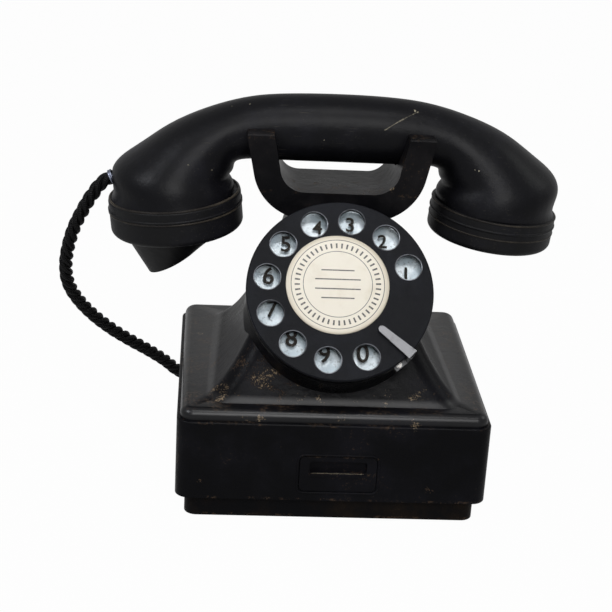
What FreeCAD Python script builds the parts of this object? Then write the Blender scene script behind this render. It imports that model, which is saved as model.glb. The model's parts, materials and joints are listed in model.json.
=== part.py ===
# Rotary desk telephone: flared housing on a plinth, tilted dial, moving cradle fork, handset on a rope.
# Millimetres. +Z is up, the dial faces -Y, and the origin is on the table under the middle of the object.
import FreeCAD
import Part
import math
import os

Vec = FreeCAD.Vector

# Plinth and feet
FOOT_PROUD = 1.2
FOOT_R = 8.0
FOOT_INSET = 22.0
FOOT_SUNK = 1.0
PLINTH_H = 11.8
PLINTH_INSET = 4.7
PLINTH_WALL = 3.0
FLOOR_T = 2.5

# Housing
HOUSING_W = 152.0
HOUSING_D = 140.0
SIDE_H = 40.6
WALL = 3.0
CORNER_R = 7.0
LEDGE_T = 2.5
LIP_R = 0.8
ROLL_STEP = 1.6
ROLL_H = 5.7
ROLL_R = 4.2
POST_INSET = 12.0
POST_R = 4.5
BASE_SCREW_R = 2.0
BASE_SCREW_HEAD_R = 3.4

# Flare from the shelf up to the neck: how fast each side draws in, as a power of the height
FLARE_INSET = 9.0
FLARE_CORNER_R = 9.5
FLARE_WALL = 4.0
FLARE_STEPS = (0.0, 0.05, 0.12, 0.22, 0.38, 0.56, 0.79, 1.0)
SIDE_POWER_FRONT = 0.60
SIDE_POWER_REAR = 0.43
FRONT_POWER = 0.95
REAR_POWER = 0.45
NECK_Z = 134.0
NECK_HALF_W = 21.5
NECK_ROOF = 4.0

# Dial: centre of the finger wheel's face and its place in the housing
DIAL_X = 0.0
DIAL_Y = -45.2
DIAL_Z = 113.7
DIAL_RISE_DEG = 40.3
BOSS_R = 44.8
BOSS_WALL = 3.0
BOSS_DROP = 8.2
BOSS_DEEP = 42.0
WHEEL_R = 45.1
WHEEL_T = 2.2
WHEEL_EDGE = 0.5
HUB_R = 8.0
HUB_T = 2.0
HOLE_R = 6.4
HOLE_CIRCLE_R = 35.4
HOLE_COUNT = 10
FIRST_HOLE_DEG = 20.9
HOLE_STEP_DEG = 30.0
LABEL_R = 24.9
LABEL_T = 1.0
LABEL_OFF_X = -1.2
LABEL_OFF_U = 2.6
CASE_FLANGE_R = 44.7
CASE_FLANGE_T = 1.8
CASE_LIP = 1.0
CASE_WALL = 3.2
CASE_DEEP = 5.8
PLATE_T = 0.8
PLATE_SINK = 1.2
PLATE_FIT = 0.1
FRAME_T = 1.5
BRIDGE_GAP = 10.0
BRIDGE_R = 34.0
BRIDGE_T = 1.5
PILLAR_R = 2.0
PILLAR_CIRCLE_R = 31.0
PILLAR_DEGS = (90.0, 265.0, 355.0)
DIAL_SCREW_DEGS = (60.0, 180.0, 300.0)

# Finger stop
STOP_DEG = -42.7
STOP_TIP_X = 27.8
STOP_TIP_Y = -1.0
STOP_TIP_W = 3.4
STOP_ROOT_W = 5.2
STOP_T = 1.0
STOP_LIFT = 1.4
STOP_RIM_GAP = 0.7
LUG_R = 46.9
LUG_W = 3.6
LUG_SWEEP_DEG = 15.0
LUG_PAD_DEG = 3.5

# Dial train
SHAFT_R = 3.0
PULSE_SHAFT_R = 1.5
GOVERNOR_SHAFT_R = 1.0
RUN_FIT = 0.05
MAIN_TEETH = 72
PULSE_PINION_TEETH = 12
MAIN_MODULE = 0.5
PULSE_GEAR_TEETH = 60
GOVERNOR_PINION_TEETH = 12
GOVERNOR_MODULE = 0.4
GEAR_T = 1.6
PULSE_AXIS_DEG = 180.0
GOVERNOR_AXIS_DEG = 211.0
GOVERNOR_AXIS_R = 27.5
CAM_LONG_R = 5.0
CAM_SHORT_R = 3.4
CUP_R = 7.0
CUP_WALL = 0.8
WEIGHT_GAP = 0.4

# Cradle fork and handset rest
HANDSET_Y = 17.0
HANDLE_Z = 176.0
HANDLE_H = 34.0
HANDLE_D = 30.0
SEAT_GAP = 0.5
SEAT_SIDE = 1.0
HORN_T = 8.0
FORK_TOP_Z = 178.5
FORK_LIFT_GAP = 0.4
FORK_TOP_HALF_W = 46.6
FORK_FOOT_HALF_W = 24.4
FORK_EDGE_R = 1.5
TROUGH_TOP_HALF_W = 33.6
TROUGH_Z = 149.4
TROUGH_DRAFT = 2.6
TROUGH_FALL = 2.4
STEM_R = 5.0
STEM_Z = 90.0
STEM_SPIGOT_R = 3.0
STEM_IN_FORK = 8.0
COLLAR_R = 8.0
COLLAR_Z = 99.5
COLLAR_T = 3.0
BUSH_R = 8.0
BUSH_L = 12.0
BRACKET_HALF_W = 15.0
BRACKET_T = 1.5
BRACKET_SHELF_Z = 78.5
BRACKET_BACK = 16.0

# Handset
MOUTH_X = -81.2
MOUTH_CAP_R = 33.5
MOUTH_CAP_H = 18.3
EAR_X = 81.6
EAR_CAP_R = 31.9
EAR_CAP_H = 17.0
CAP_Z = 139.2
CAP_WALL = 3.0
CAP_EDGE_R = 3.5
CAP_BEAD_R = 0.8
CAP_BEAD_DROP = 5.0
CUP_STEP = 1.1
MOUTH_TILT_DEG = 6.5
MOUTH_SHOULDER_DROP = 2.0
EAR_TILT_DEG = 6.0
SPIGOT_R = 28.8
SPIGOT_WALL = 2.4
SPIGOT_L = 8.0
SPIGOT_SINK = 0.5
SPIGOT_FIT = 0.2
POCKET_H = 8.0
POCKET_R = 23.5
HANDSET_BORE_R = 5.0
WELL_X = 66.0
HORN_BASE_R = 28.0
HORN_LIP_R = 15.8
HORN_LIP_X = -2.4
HORN_LIP_DROP = 33.2
HORN_LIP_TILT_DEG = 31.5
HORN_WALL = 2.4
CAPSULE_H = 9.0
CAPSULE_FIT = 0.3
EAR_HOLE_R = 1.5
EAR_HOLE_CIRCLE_R = 9.0

# Front drawer
DRAWER_X = 2.5
DRAWER_Z = 27.6
DRAWER_W = 38.0
DRAWER_H = 19.2
DRAWER_R = 3.0
DRAWER_GAP = 0.3
DRAWER_L = 56.0
DRAWER_FRONT_T = 4.0
DRAWER_WALL = 1.2
PULL_W = 27.8
PULL_H = 6.8
PULL_DEEP = 2.6
PULL_LIP = 0.7
CARD_T = 0.6
GUIDE_T = 0.8

# Ringer
GONG_X = 29.4
GONG_Y = 40.0
GONG_Z = 43.5
GONG_R = 24.5
GONG_H = 12.5
GONG_T = 1.5
GONG_POST_R = 3.5
GONG_SCREW_R = 2.0
COIL_X = 13.0
COIL_Z = 45.0
COIL_FRONT_Y = -24.0
COIL_L = 26.0
COIL_R = 7.8
COIL_CHEEK = 9.5
COIL_CHEEK_T = 1.4
CORE_R = 3.5
CORE_PROUD = 2.0
RINGER_PLATE_T = 1.5
RINGER_HALF_W = 27.0
ARMATURE_GAP = 1.0
ARMATURE_T = 2.0
ARMATURE_HALF_W = 19.0
ARMATURE_H = 6.0
PIVOT_R = 1.0
CLAPPER_R = 3.0
CLAPPER_ROD_R = 0.9

# Circuit parts on the plinth, each at its own distance from the plinth's inner walls
CAN_W = 20.0
CAN_L = 38.0
CAN_H = 27.0
CAN_SIDE_GAP = 2.3
CAN_FRONT_GAP = 10.3
TAG_W = 3.0
TAG_T = 0.8
TAG_H = 5.0
TAG_INSET = 8.0
STRIP_W = 12.0
STRIP_L = 48.0
STRIP_H = 9.0
STRIP_SIDE_GAP = 2.3
STRIP_REAR_GAP = 18.3
TERMINALS = 6
TERMINAL_STEP = 8.0
TERMINAL_HEAD_R = 2.8
TERMINAL_HEAD_T = 1.8
TERMINAL_R = 1.5
TERMINAL_SINK = 5.6
INDUCTION_L = 38.0
INDUCTION_HALF = 11.0
INDUCTION_R = 9.0
INDUCTION_CHEEK_T = 2.0
INDUCTION_CORE_R = 3.5
INDUCTION_CORE_PROUD = 3.0
INDUCTION_SIDE_GAP = 5.3
INDUCTION_FRONT_GAP = 12.3

# Line and handset cords
INLET_X = 22.0
INLET_Z = 24.0
INLET_R = 5.5
INLET_BORE_R = 2.6
INLET_PROUD = 4.7
INLET_INSIDE = 5.0
ROPE_R = 3.6
GLAND_X = -24.5
GLAND_Z = 20.0
GLAND_R = 4.8
GLAND_FLANGE_R = 6.8
GLAND_FLANGE_T = 1.5
GLAND_SLEEVE = 4.0
FERRULE_R = 4.1
FERRULE_ROOT = (-106.3, 17.0, 149.8)
FERRULE_BEND = (-117.6, 17.0, 143.8)
LEAD_R = 1.6

# The rope's route, from the handset's ferrule down to its coil on the table
ROPE_ROUTE = (
    (-120.0, 17.0, 140.2),
    (-124.3, 17.0, 133.75),
    (-128.3, 18.4, 125.6),
    (-131.6, 20.2, 118.6),
    (-135.1, 23.4, 106.6),
    (-137.0, 27.8, 94.5),
    (-136.4, 33.4, 82.0),
    (-131.6, 40.2, 70.1),
    (-124.0, 47.6, 58.3),
    (-114.4, 55.9, 46.8),
    (-103.4, 63.6, 36.6),
    (-92.9, 71.2, 27.3),
    (-84.6, 77.4, 19.0),
    (-78.2, 82.9, 10.6),
    (-70.9, 88.6, 5.4),
    (-62.6, 92.6, 4.0),
    (-54.4, 94.8, 3.8),
    (-46.1, 95.08, 3.75),
    (-37.7, 93.9, 3.75),
)

# The spare length's coil behind the housing, and the route from it up to the gland
ROPE_COIL_X = -4.0
ROPE_COIL_Y = 133.0
ROPE_COIL_MIDDLE_R = 38.1
ROPE_COIL_BAND = 10.6
ROPE_COIL_BASE = 0.15
ROPE_COIL_LAYERS = 2
ROPE_COIL_PITCH = 7.3
ROPE_COIL_SOFT_R = 3.0
ROPE_COIL_TAIL = 28.0
GLAND_ROUTE = (
    (-28.9, 88.1, 17.0),
    (-25.33, 81.6, 18.6),
    (-24.5, 73.0, 20.0),
)

# Worked out from the sizes above
HOUSING_Z = FOOT_PROUD + PLINTH_H
LIP_Z = HOUSING_Z + SIDE_H
SHELF_Z = LIP_Z + ROLL_H
FLOOR_Z = FOOT_PROUD + FLOOR_T
HALF_W = HOUSING_W / 2
HALF_D = HOUSING_D / 2
PLINTH_INNER_X = HALF_W - PLINTH_INSET - PLINTH_WALL
PLINTH_INNER_Y = HALF_D - PLINTH_INSET - PLINTH_WALL
FORK_FRONT = HANDSET_Y - HANDLE_D / 2 - SEAT_SIDE - HORN_T
FORK_REAR = HANDSET_Y + HANDLE_D / 2 + SEAT_SIDE + HORN_T
FORK_Z = NECK_Z + FORK_LIFT_GAP
NECK_FRONT = FORK_FRONT - 2.0
NECK_REAR = FORK_REAR
BOSS_BORE_R = BOSS_R - BOSS_WALL
CASE_R = BOSS_BORE_R - RUN_FIT
CASE_S = -BOSS_DROP - CASE_DEEP
PLATE_R = CASE_FLANGE_R - CASE_LIP
FRAME_S = CASE_S - FRAME_T
BRIDGE_S = FRAME_S - BRIDGE_GAP
MAIN_GEAR_S = FRAME_S - 3.5
PULSE_GEAR_S = FRAME_S - 7.3
CAM_S = BRIDGE_S + 0.6
PULSE_AXIS_R = MAIN_MODULE * (MAIN_TEETH + PULSE_PINION_TEETH) / 2 + RUN_FIT
STEM_Y = HANDSET_Y
DEG = math.pi / 180


# Basic solids

def block(x0, x1, y0, y1, z0, z1):
    """A box between two corners."""
    return Part.makeBox(x1 - x0, y1 - y0, z1 - z0, Vec(x0, y0, z0))


def rod(radius, z0, z1, x=0.0, y=0.0):
    """An upright cylinder."""
    return Part.makeCylinder(radius, z1 - z0, Vec(x, y, z0))


def rod_between(start, end, radius):
    """A cylinder from one point to another."""
    axis = end.sub(start)
    return Part.makeCylinder(radius, axis.Length, start, axis)


def tube(outer, inner, z0, z1, x=0.0, y=0.0):
    """An upright tube."""
    return rod(outer, z0, z1, x, y).cut(rod(inner, z0, z1, x, y))


def fuse(shapes):
    """One solid from several that touch or overlap."""
    first = shapes[0]
    joined = first.fuse(shapes[1:]) if len(shapes) > 1 else first
    return joined.removeSplitter()


def upright_edges(shape):
    """The straight edges that run along Z."""
    found = []
    for edge in shape.Edges:
        ends = [vertex.Point for vertex in edge.Vertexes]
        if len(ends) == 2 and abs(ends[0].x - ends[1].x) < 1e-6 and abs(ends[0].y - ends[1].y) < 1e-6:
            found.append(edge)
    return found


def level_edges(shape, z):
    """The edges that lie wholly at height z."""
    return [edge for edge in shape.Edges if abs(edge.BoundBox.ZMin - z) < 1e-4 and abs(edge.BoundBox.ZMax - z) < 1e-4]


def soft_block(x0, x1, y0, y1, z0, z1, radius):
    """A box with round upright corners."""
    solid = block(x0, x1, y0, y1, z0, z1)
    return solid.makeFillet(radius, upright_edges(solid))


def rounded_loop(corners, radius):
    """A closed flat wire through 3D corners, each rounded by an arc of the same radius."""
    edges = []
    points = []
    count = len(corners)
    for index, corner in enumerate(corners):
        back = corners[index - 1].sub(corner).normalize()
        ahead = corners[(index + 1) % count].sub(corner).normalize()
        half = back.getAngle(ahead) / 2
        reach = radius / math.tan(half)
        middle = Vec(back).add(ahead).normalize().multiply(radius / math.sin(half) - radius)
        points.append((corner.add(Vec(back).multiply(reach)), corner.add(middle), corner.add(Vec(ahead).multiply(reach))))
    for index, (start, middle, end) in enumerate(points):
        edges.append(Part.Arc(start, middle, end).toShape())
        edges.append(Part.makeLine(end, points[(index + 1) % count][0]))
    return Part.Wire(edges)


def polygon_prism(points, z0, z1):
    """A straight prism on a closed outline of (x, y) points."""
    corners = [Vec(x, y, z0) for x, y in points]
    return Part.Face(Part.makePolygon(corners + corners[:1])).extrude(Vec(0, 0, z1 - z0))


def polar(radius, degrees):
    """A point at a radius and an angle."""
    return radius * math.cos(degrees * DEG), radius * math.sin(degrees * DEG)


# Dial place: local Z is the way the dial faces, local X stays X, local Y runs up the dial

def on_dial(shape):
    """Moves a shape from dial coordinates into the telephone."""
    placed = shape.copy()
    placed.Placement = FreeCAD.Placement(
        Vec(DIAL_X, DIAL_Y, DIAL_Z), FreeCAD.Rotation(Vec(1, 0, 0), 90.0 - DIAL_RISE_DEG)
    ).multiply(placed.Placement)
    return placed


# Plinth

def base_plate():
    """Cast tray with an upright wall, foot recesses and screw holes."""
    x = HALF_W - PLINTH_INSET
    y = HALF_D - PLINTH_INSET
    radius = CORNER_R - 1.0
    outer = soft_block(-x, x, -y, y, FOOT_PROUD, HOUSING_Z, radius)
    inner = soft_block(
        PLINTH_WALL - x, x - PLINTH_WALL, PLINTH_WALL - y, y - PLINTH_WALL, FLOOR_Z, HOUSING_Z, radius - PLINTH_WALL + 0.5
    )
    tray = outer.cut(inner)
    holes = [rod(FOOT_R + RUN_FIT, FOOT_PROUD, FOOT_PROUD + FOOT_SUNK, fx, fy) for fx, fy in foot_points()]
    for px, py in post_points():
        holes.append(rod(BASE_SCREW_R + RUN_FIT, FOOT_PROUD, FLOOR_Z, px, py))
        holes.append(rod(BASE_SCREW_HEAD_R + 0.3, FOOT_PROUD, FOOT_PROUD + FLOOR_T / 2, px, py))
    return tray.cut(holes)


def foot_points():
    """The centres of the four feet."""
    x = HALF_W - FOOT_INSET
    y = HALF_D - FOOT_INSET
    return [(sx * x, sy * y) for sx in (-1, 1) for sy in (-1, 1)]


def post_points():
    """The centres of the four screw posts in the housing's corners."""
    x = HALF_W - POST_INSET
    y = HALF_D - POST_INSET
    return [(sx * x, sy * y) for sx in (-1, 1) for sy in (-1, 1)]


def rubber_feet():
    """Four round feet, sunk in the plinth's underside."""
    return Part.makeCompound([rod(FOOT_R, 0.0, FOOT_PROUD + FOOT_SUNK, x, y) for x, y in foot_points()])


def base_screws():
    """Four screws from below into the housing's posts."""
    head_top = FOOT_PROUD + FLOOR_T / 2
    screws = []
    for x, y in post_points():
        head = rod(BASE_SCREW_HEAD_R, head_top - 1.1, head_top, x, y)
        screws.append(head.fuse(rod(BASE_SCREW_R, head_top, HOUSING_Z + 2.0, x, y)).removeSplitter())
    return Part.makeCompound(screws)


# Housing

def flare(inset, foot_z, neck_z):
    """The flared body between shelf and neck, drawn in by an inset on every side."""
    foot_x = HALF_W - FLARE_INSET - inset
    foot_y = HALF_D - FLARE_INSET - inset
    neck_x = NECK_HALF_W - inset
    front = NECK_FRONT + inset
    rear = NECK_REAR - inset
    loops = []
    for step in FLARE_STEPS:
        z = foot_z + (neck_z - foot_z) * step
        x_front = foot_x + (neck_x - foot_x) * step ** SIDE_POWER_FRONT
        x_rear = foot_x + (neck_x - foot_x) * step ** SIDE_POWER_REAR
        y_front = -foot_y + (front + foot_y) * step ** FRONT_POWER
        y_rear = foot_y + (rear - foot_y) * step ** REAR_POWER
        corners = [Vec(-x_front, y_front, z), Vec(x_front, y_front, z), Vec(x_rear, y_rear, z), Vec(-x_rear, y_rear, z)]
        loops.append(rounded_loop(corners, FLARE_CORNER_R - inset / 2))
    return Part.makeLoft(loops, True)


def housing_outside():
    """The housing's outer form as one solid."""
    box = soft_block(-HALF_W, HALF_W, -HALF_D, HALF_D, HOUSING_Z, LIP_Z, CORNER_R)
    box = box.makeFillet(LIP_R, level_edges(box, LIP_Z))
    x = HALF_W - ROLL_STEP
    y = HALF_D - ROLL_STEP
    roll = soft_block(-x, x, -y, y, LIP_Z - WALL, SHELF_Z, CORNER_R - ROLL_STEP / 2)
    roll = roll.makeFillet(ROLL_R, level_edges(roll, SHELF_Z))
    boss = on_dial(rod(BOSS_R, -BOSS_DEEP, -BOSS_DROP))
    return box.fuse([roll, flare(0.0, SHELF_Z - 1.3, NECK_Z), boss])


def housing_inside():
    """The hollow of the housing as one solid."""
    x = HALF_W - WALL
    y = HALF_D - WALL
    box = soft_block(-x, x, -y, y, HOUSING_Z, LIP_Z - WALL, CORNER_R - WALL)
    roll_x = x - ROLL_STEP
    roll_y = y - ROLL_STEP
    roll = soft_block(-roll_x, roll_x, -roll_y, roll_y, HOUSING_Z, SHELF_Z - WALL, CORNER_R - WALL)
    seat = on_dial(rod(BOSS_BORE_R, FRAME_S - 2.0, -BOSS_DROP))
    works = on_dial(rod(BOSS_BORE_R - 6.0, -BOSS_DEEP - 3.0, FRAME_S - 2.0))
    return box.fuse([roll, flare(FLARE_WALL, SHELF_Z - WALL - 0.3, NECK_Z - NECK_ROOF), seat, works])


def drawer_opening(grow, y0, y1):
    """The rounded slot in the housing's front, grown on every side."""
    half_w = DRAWER_W / 2 + grow
    half_h = DRAWER_H / 2 + grow
    corners = [Vec(DRAWER_X + sx * half_w, y0, DRAWER_Z + sz * half_h) for sx, sz in ((-1, -1), (1, -1), (1, 1), (-1, 1))]
    return Part.Face(rounded_loop(corners, DRAWER_R + grow)).extrude(Vec(0, y1 - y0, 0))


def housing():
    """Cast housing: shelf, flare, dial boss, neck, screw posts and openings."""
    ledge_x = HALF_W - PLINTH_INSET - PLINTH_WALL - 0.8
    ledge_y = HALF_D - PLINTH_INSET - PLINTH_WALL - 0.8
    hollow = housing_inside()
    rim = block(-HALF_W, HALF_W, -HALF_D, HALF_D, HOUSING_Z - 1.0, HOUSING_Z + LEDGE_T)
    rim = rim.cut(block(-ledge_x, ledge_x, -ledge_y, ledge_y, HOUSING_Z - 1.0, HOUSING_Z + LEDGE_T))
    hollow = hollow.cut(rim)
    posts = [rod(POST_R, HOUSING_Z, LIP_Z - WALL / 2, x, y) for x, y in post_points()]
    hollow = hollow.cut(posts)
    shell = housing_outside().cut(hollow)
    cuts = [rod(BASE_SCREW_R + RUN_FIT, HOUSING_Z, HOUSING_Z + 4.0, x, y) for x, y in post_points()]
    cuts.append(drawer_opening(0.0, -HALF_D - 1.0, WALL + 1.0 - HALF_D))
    cuts.append(rod(BUSH_R + RUN_FIT, NECK_Z - NECK_ROOF - 1.0, NECK_Z + 1.0, 0.0, STEM_Y))
    for x in bracket_screw_xs():
        cuts.append(rod(1.55, NECK_Z - NECK_ROOF - 1.0, NECK_Z - 1.0, x, STEM_Y))
    cuts.append(rod_between(Vec(INLET_X, HALF_D - WALL - 2.0, INLET_Z), Vec(INLET_X, HALF_D + 1.0, INLET_Z), INLET_R - 1.0))
    cuts.append(rod_between(Vec(GLAND_X, HALF_D - WALL - 2.0, GLAND_Z), Vec(GLAND_X, HALF_D + 1.0, GLAND_Z), GLAND_R))
    return shell.cut(cuts).removeSplitter()


# Dial

def gear(teeth, module, z0, z1, bore, turn=0.0):
    """A spur gear with straight-sided teeth, thinned for backlash."""
    pitch_r = teeth * module / 2
    tip_r = pitch_r + 0.75 * module
    root_r = pitch_r - 0.95 * module
    pitch = 2 * math.pi / teeth
    points = []
    for index in range(teeth):
        middle = index * pitch + turn * DEG
        for radius, share in ((root_r, -0.30), (tip_r, -0.10), (tip_r, 0.10), (root_r, 0.30)):
            angle = middle + share * pitch
            points.append((radius * math.cos(angle), radius * math.sin(angle)))
    return polygon_prism(points, z0, z1).cut(rod(bore, z0, z1))


def moved(shape, x, y):
    """The shape shifted in its own X and Y."""
    copy = shape.copy()
    copy.translate(Vec(x, y, 0))
    return copy


def pulse_axis():
    """Where the pulse shaft stands on the dial frame."""
    return polar(PULSE_AXIS_R, PULSE_AXIS_DEG)


def governor_axis():
    """Where the governor shaft stands on the dial frame."""
    px, py = pulse_axis()
    reach = GOVERNOR_MODULE * (PULSE_GEAR_TEETH + GOVERNOR_PINION_TEETH) / 2 + RUN_FIT
    gx, gy = polar(GOVERNOR_AXIS_R, GOVERNOR_AXIS_DEG)
    length = math.hypot(gx - px, gy - py)
    return px + (gx - px) * reach / length, py + (gy - py) * reach / length


def finger_wheel():
    """Flat wheel with ten finger holes and a hub under its centre."""
    disc = rod(WHEEL_R, -WHEEL_T, 0.0)
    disc = disc.makeChamfer(WHEEL_EDGE, level_edges(disc, 0.0))
    wheel = disc.fuse(rod(HUB_R, -WHEEL_T - HUB_T, -WHEEL_T))
    holes = [rod(HOLE_R, -WHEEL_T, 0.0, *polar(HOLE_CIRCLE_R, FIRST_HOLE_DEG + HOLE_STEP_DEG * k)) for k in range(HOLE_COUNT)]
    holes.append(rod(1.5, -WHEEL_T - HUB_T, 0.0))
    holes.append(rod(3.8, -1.4, 0.0))
    return on_dial(wheel.cut(holes).removeSplitter())


def dial_label():
    """Round card stuck on the wheel, a little above its centre as photographed."""
    return on_dial(rod(LABEL_R, 0.0, LABEL_T, LABEL_OFF_X, LABEL_OFF_U))


def wheel_screw():
    """The screw that holds the wheel on its shaft, under the label."""
    return on_dial(rod(3.6, -1.4, -0.1).fuse(rod(1.45, -12.0, -1.4)).removeSplitter())


def dial_case():
    """Ring that sits in the boss and carries the number plate."""
    flange_top = CASE_FLANGE_T - BOSS_DROP
    inner = CASE_R - CASE_WALL
    ring = rod(CASE_FLANGE_R, -BOSS_DROP, flange_top).fuse(rod(CASE_R, CASE_S, -BOSS_DROP))
    start = STOP_DEG + LUG_PAD_DEG
    lug = ring_sector(CASE_R, LUG_R, start, start - LUG_SWEEP_DEG, -BOSS_DROP, flange_top)
    ring = ring.fuse(lug)
    ring = ring.cut([rod(inner, CASE_S, flange_top), rod(PLATE_R + PLATE_FIT, flange_top - PLATE_SINK, flange_top)])
    ring = ring.cut(rod(0.85, -BOSS_DROP, flange_top, *stop_screw_point()))
    screws = [rod(0.98, CASE_S, CASE_S + 5.0, *polar(CASE_R - CASE_WALL / 2, angle)) for angle in DIAL_SCREW_DEGS]
    return on_dial(ring.cut(screws).removeSplitter())


def number_plate():
    """Thin plate under the wheel that the digits stand on."""
    bottom = CASE_FLANGE_T - BOSS_DROP - PLATE_SINK
    return on_dial(tube(PLATE_R, 4.5, bottom, bottom + PLATE_T))


def dial_frame():
    """Steel plate behind the case, with the front bearings of the train."""
    plate = rod(CASE_R - 0.1, FRAME_S, CASE_S)
    holes = [
        rod(SHAFT_R + RUN_FIT, FRAME_S, CASE_S),
        rod(PULSE_SHAFT_R + RUN_FIT, FRAME_S, CASE_S, *pulse_axis()),
        rod(GOVERNOR_SHAFT_R + RUN_FIT, FRAME_S, CASE_S, *governor_axis()),
    ]
    for angle in DIAL_SCREW_DEGS:
        holes.append(rod(0.98, FRAME_S, CASE_S, *polar(CASE_R - CASE_WALL / 2, angle)))
    return on_dial(plate.cut(holes))


def dial_screws():
    """Three screws that hold the frame to the case, and the one through the finger stop's foot."""
    screws = [stop_screw()]
    for angle in DIAL_SCREW_DEGS:
        x, y = polar(CASE_R - CASE_WALL / 2, angle)
        screw = rod(1.5, FRAME_S - 1.2, FRAME_S, x, y).fuse(rod(0.95, FRAME_S, CASE_S + 4.8, x, y))
        screws.append(on_dial(screw.removeSplitter()))
    return Part.makeCompound(screws)


def dial_bridge():
    """Rear plate of the train with the rear bearings."""
    plate = rod(BRIDGE_R, BRIDGE_S - BRIDGE_T, BRIDGE_S)
    holes = [
        rod(SHAFT_R + RUN_FIT, BRIDGE_S - BRIDGE_T, BRIDGE_S),
        rod(PULSE_SHAFT_R + RUN_FIT, BRIDGE_S - BRIDGE_T, BRIDGE_S, *pulse_axis()),
        rod(GOVERNOR_SHAFT_R + RUN_FIT, BRIDGE_S - BRIDGE_T, BRIDGE_S, *governor_axis()),
    ]
    return on_dial(plate.cut(holes))


def bridge_pillars():
    """Three pillars between the frame and the bridge."""
    return Part.makeCompound([on_dial(rod(PILLAR_R, BRIDGE_S, FRAME_S, *polar(PILLAR_CIRCLE_R, a))) for a in PILLAR_DEGS])


def main_shaft():
    """The dial's main shaft, from the wheel's hub to the bridge."""
    shaft = rod(SHAFT_R, BRIDGE_S - BRIDGE_T - 0.5, -WHEEL_T - HUB_T)
    return on_dial(shaft.cut(rod(1.5, -12.4, -WHEEL_T - HUB_T)))


def main_gear():
    """Large gear on the main shaft."""
    return on_dial(gear(MAIN_TEETH, MAIN_MODULE, MAIN_GEAR_S, MAIN_GEAR_S + GEAR_T, SHAFT_R + 0.02))


def pulse_shaft():
    """Pulse shaft with its pinion."""
    pinion = gear(PULSE_PINION_TEETH, MAIN_MODULE, MAIN_GEAR_S - 0.4, MAIN_GEAR_S + GEAR_T + 0.4, PULSE_SHAFT_R / 2, 15.0)
    shaft = rod(PULSE_SHAFT_R, BRIDGE_S - BRIDGE_T, CASE_S)
    return on_dial(moved(pinion.fuse(shaft).removeSplitter(), *pulse_axis()))


def pulse_gear():
    """Second gear, on the pulse shaft."""
    wheel = gear(PULSE_GEAR_TEETH, GOVERNOR_MODULE, PULSE_GEAR_S, PULSE_GEAR_S + 1.2, PULSE_SHAFT_R + 0.02)
    return on_dial(moved(wheel, *pulse_axis()))


def pulse_cam():
    """Two-lobed cam that works the pulse contacts."""
    lobe = Part.Ellipse(Vec(0, 0, CAM_S), CAM_LONG_R, CAM_SHORT_R).toShape()
    cam = Part.Face(Part.Wire([lobe])).extrude(Vec(0, 0, 1.5))
    return on_dial(moved(cam.cut(rod(PULSE_SHAFT_R + 0.02, CAM_S, CAM_S + 1.5)), *pulse_axis()))


def pulse_blades():
    """Two contact blades beside the cam."""
    px, py = pulse_axis()
    x = px - CAM_LONG_R - 0.3
    near = block(x - 0.3, x, py - 5.0, py + 15.0, CAM_S - 0.1, CAM_S + 1.7)
    far = block(x - 1.9, x - 1.6, py - 3.0, py + 15.0, CAM_S - 0.1, CAM_S + 1.7)
    button = block(x - 1.6, x - 0.7, py - 2.5, py - 1.0, CAM_S + 0.2, CAM_S + 1.4)
    return Part.makeCompound([on_dial(near), on_dial(far.fuse(button).removeSplitter())])


def blade_blocks():
    """Insulating blocks that grip the contact blades on the bridge."""
    px, py = pulse_axis()
    x = px - CAM_LONG_R - 0.3
    spans = ((x, x + 1.0), (x - 1.6, x - 0.3), (x - 2.9, x - 1.9))
    return Part.makeCompound([on_dial(block(x0, x1, py + 9.0, py + 15.0, BRIDGE_S, CAM_S + 2.0)) for x0, x1 in spans])


def governor_shaft():
    """Governor shaft with its pinion."""
    px, py = pulse_axis()
    gx, gy = governor_axis()
    line = math.degrees(math.atan2(py - gy, px - gx))
    turn = mesh_turn(line)
    pinion = gear(
        GOVERNOR_PINION_TEETH, GOVERNOR_MODULE, PULSE_GEAR_S - 0.3, PULSE_GEAR_S + 1.5, GOVERNOR_SHAFT_R / 2, turn
    )
    shaft = rod(GOVERNOR_SHAFT_R, BRIDGE_S - BRIDGE_T, CASE_S)
    return on_dial(moved(pinion.fuse(shaft).removeSplitter(), gx, gy))


def mesh_turn(line):
    """The turn that puts a pinion's gap where a gear with a tooth at angle 0 has its nearest tooth."""
    gear_pitch = 360.0 / PULSE_GEAR_TEETH
    pinion_pitch = 360.0 / GOVERNOR_PINION_TEETH
    seen = line + 180.0
    offset = (seen - round(seen / gear_pitch) * gear_pitch) / gear_pitch
    return line + pinion_pitch / 2 + offset * pinion_pitch


def governor_weights():
    """Two weights on a cross arm, carried by the governor shaft."""
    reach = CUP_R - CUP_WALL - WEIGHT_GAP
    arm = block(-reach + 0.5, reach - 0.5, -0.8, 0.8, FRAME_S - 3.6, FRAME_S - 2.0)
    ring = tube(reach, reach - 2.2, FRAME_S - 4.2, FRAME_S - 1.4)
    sides = ring.common(block(-reach, reach, -3.0, 3.0, FRAME_S - 4.2, FRAME_S - 1.4))
    hub = rod(2.0, FRAME_S - 4.2, FRAME_S - 1.4)
    whole = fuse([arm, sides, hub]).cut(rod(GOVERNOR_SHAFT_R + 0.02, FRAME_S - 5.0, FRAME_S))
    return on_dial(moved(whole, *governor_axis()))


def governor_cup():
    """Fixed cup that the weights rub in."""
    return on_dial(moved(tube(CUP_R, CUP_R - CUP_WALL, FRAME_S - 4.8, FRAME_S), *governor_axis()))


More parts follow.
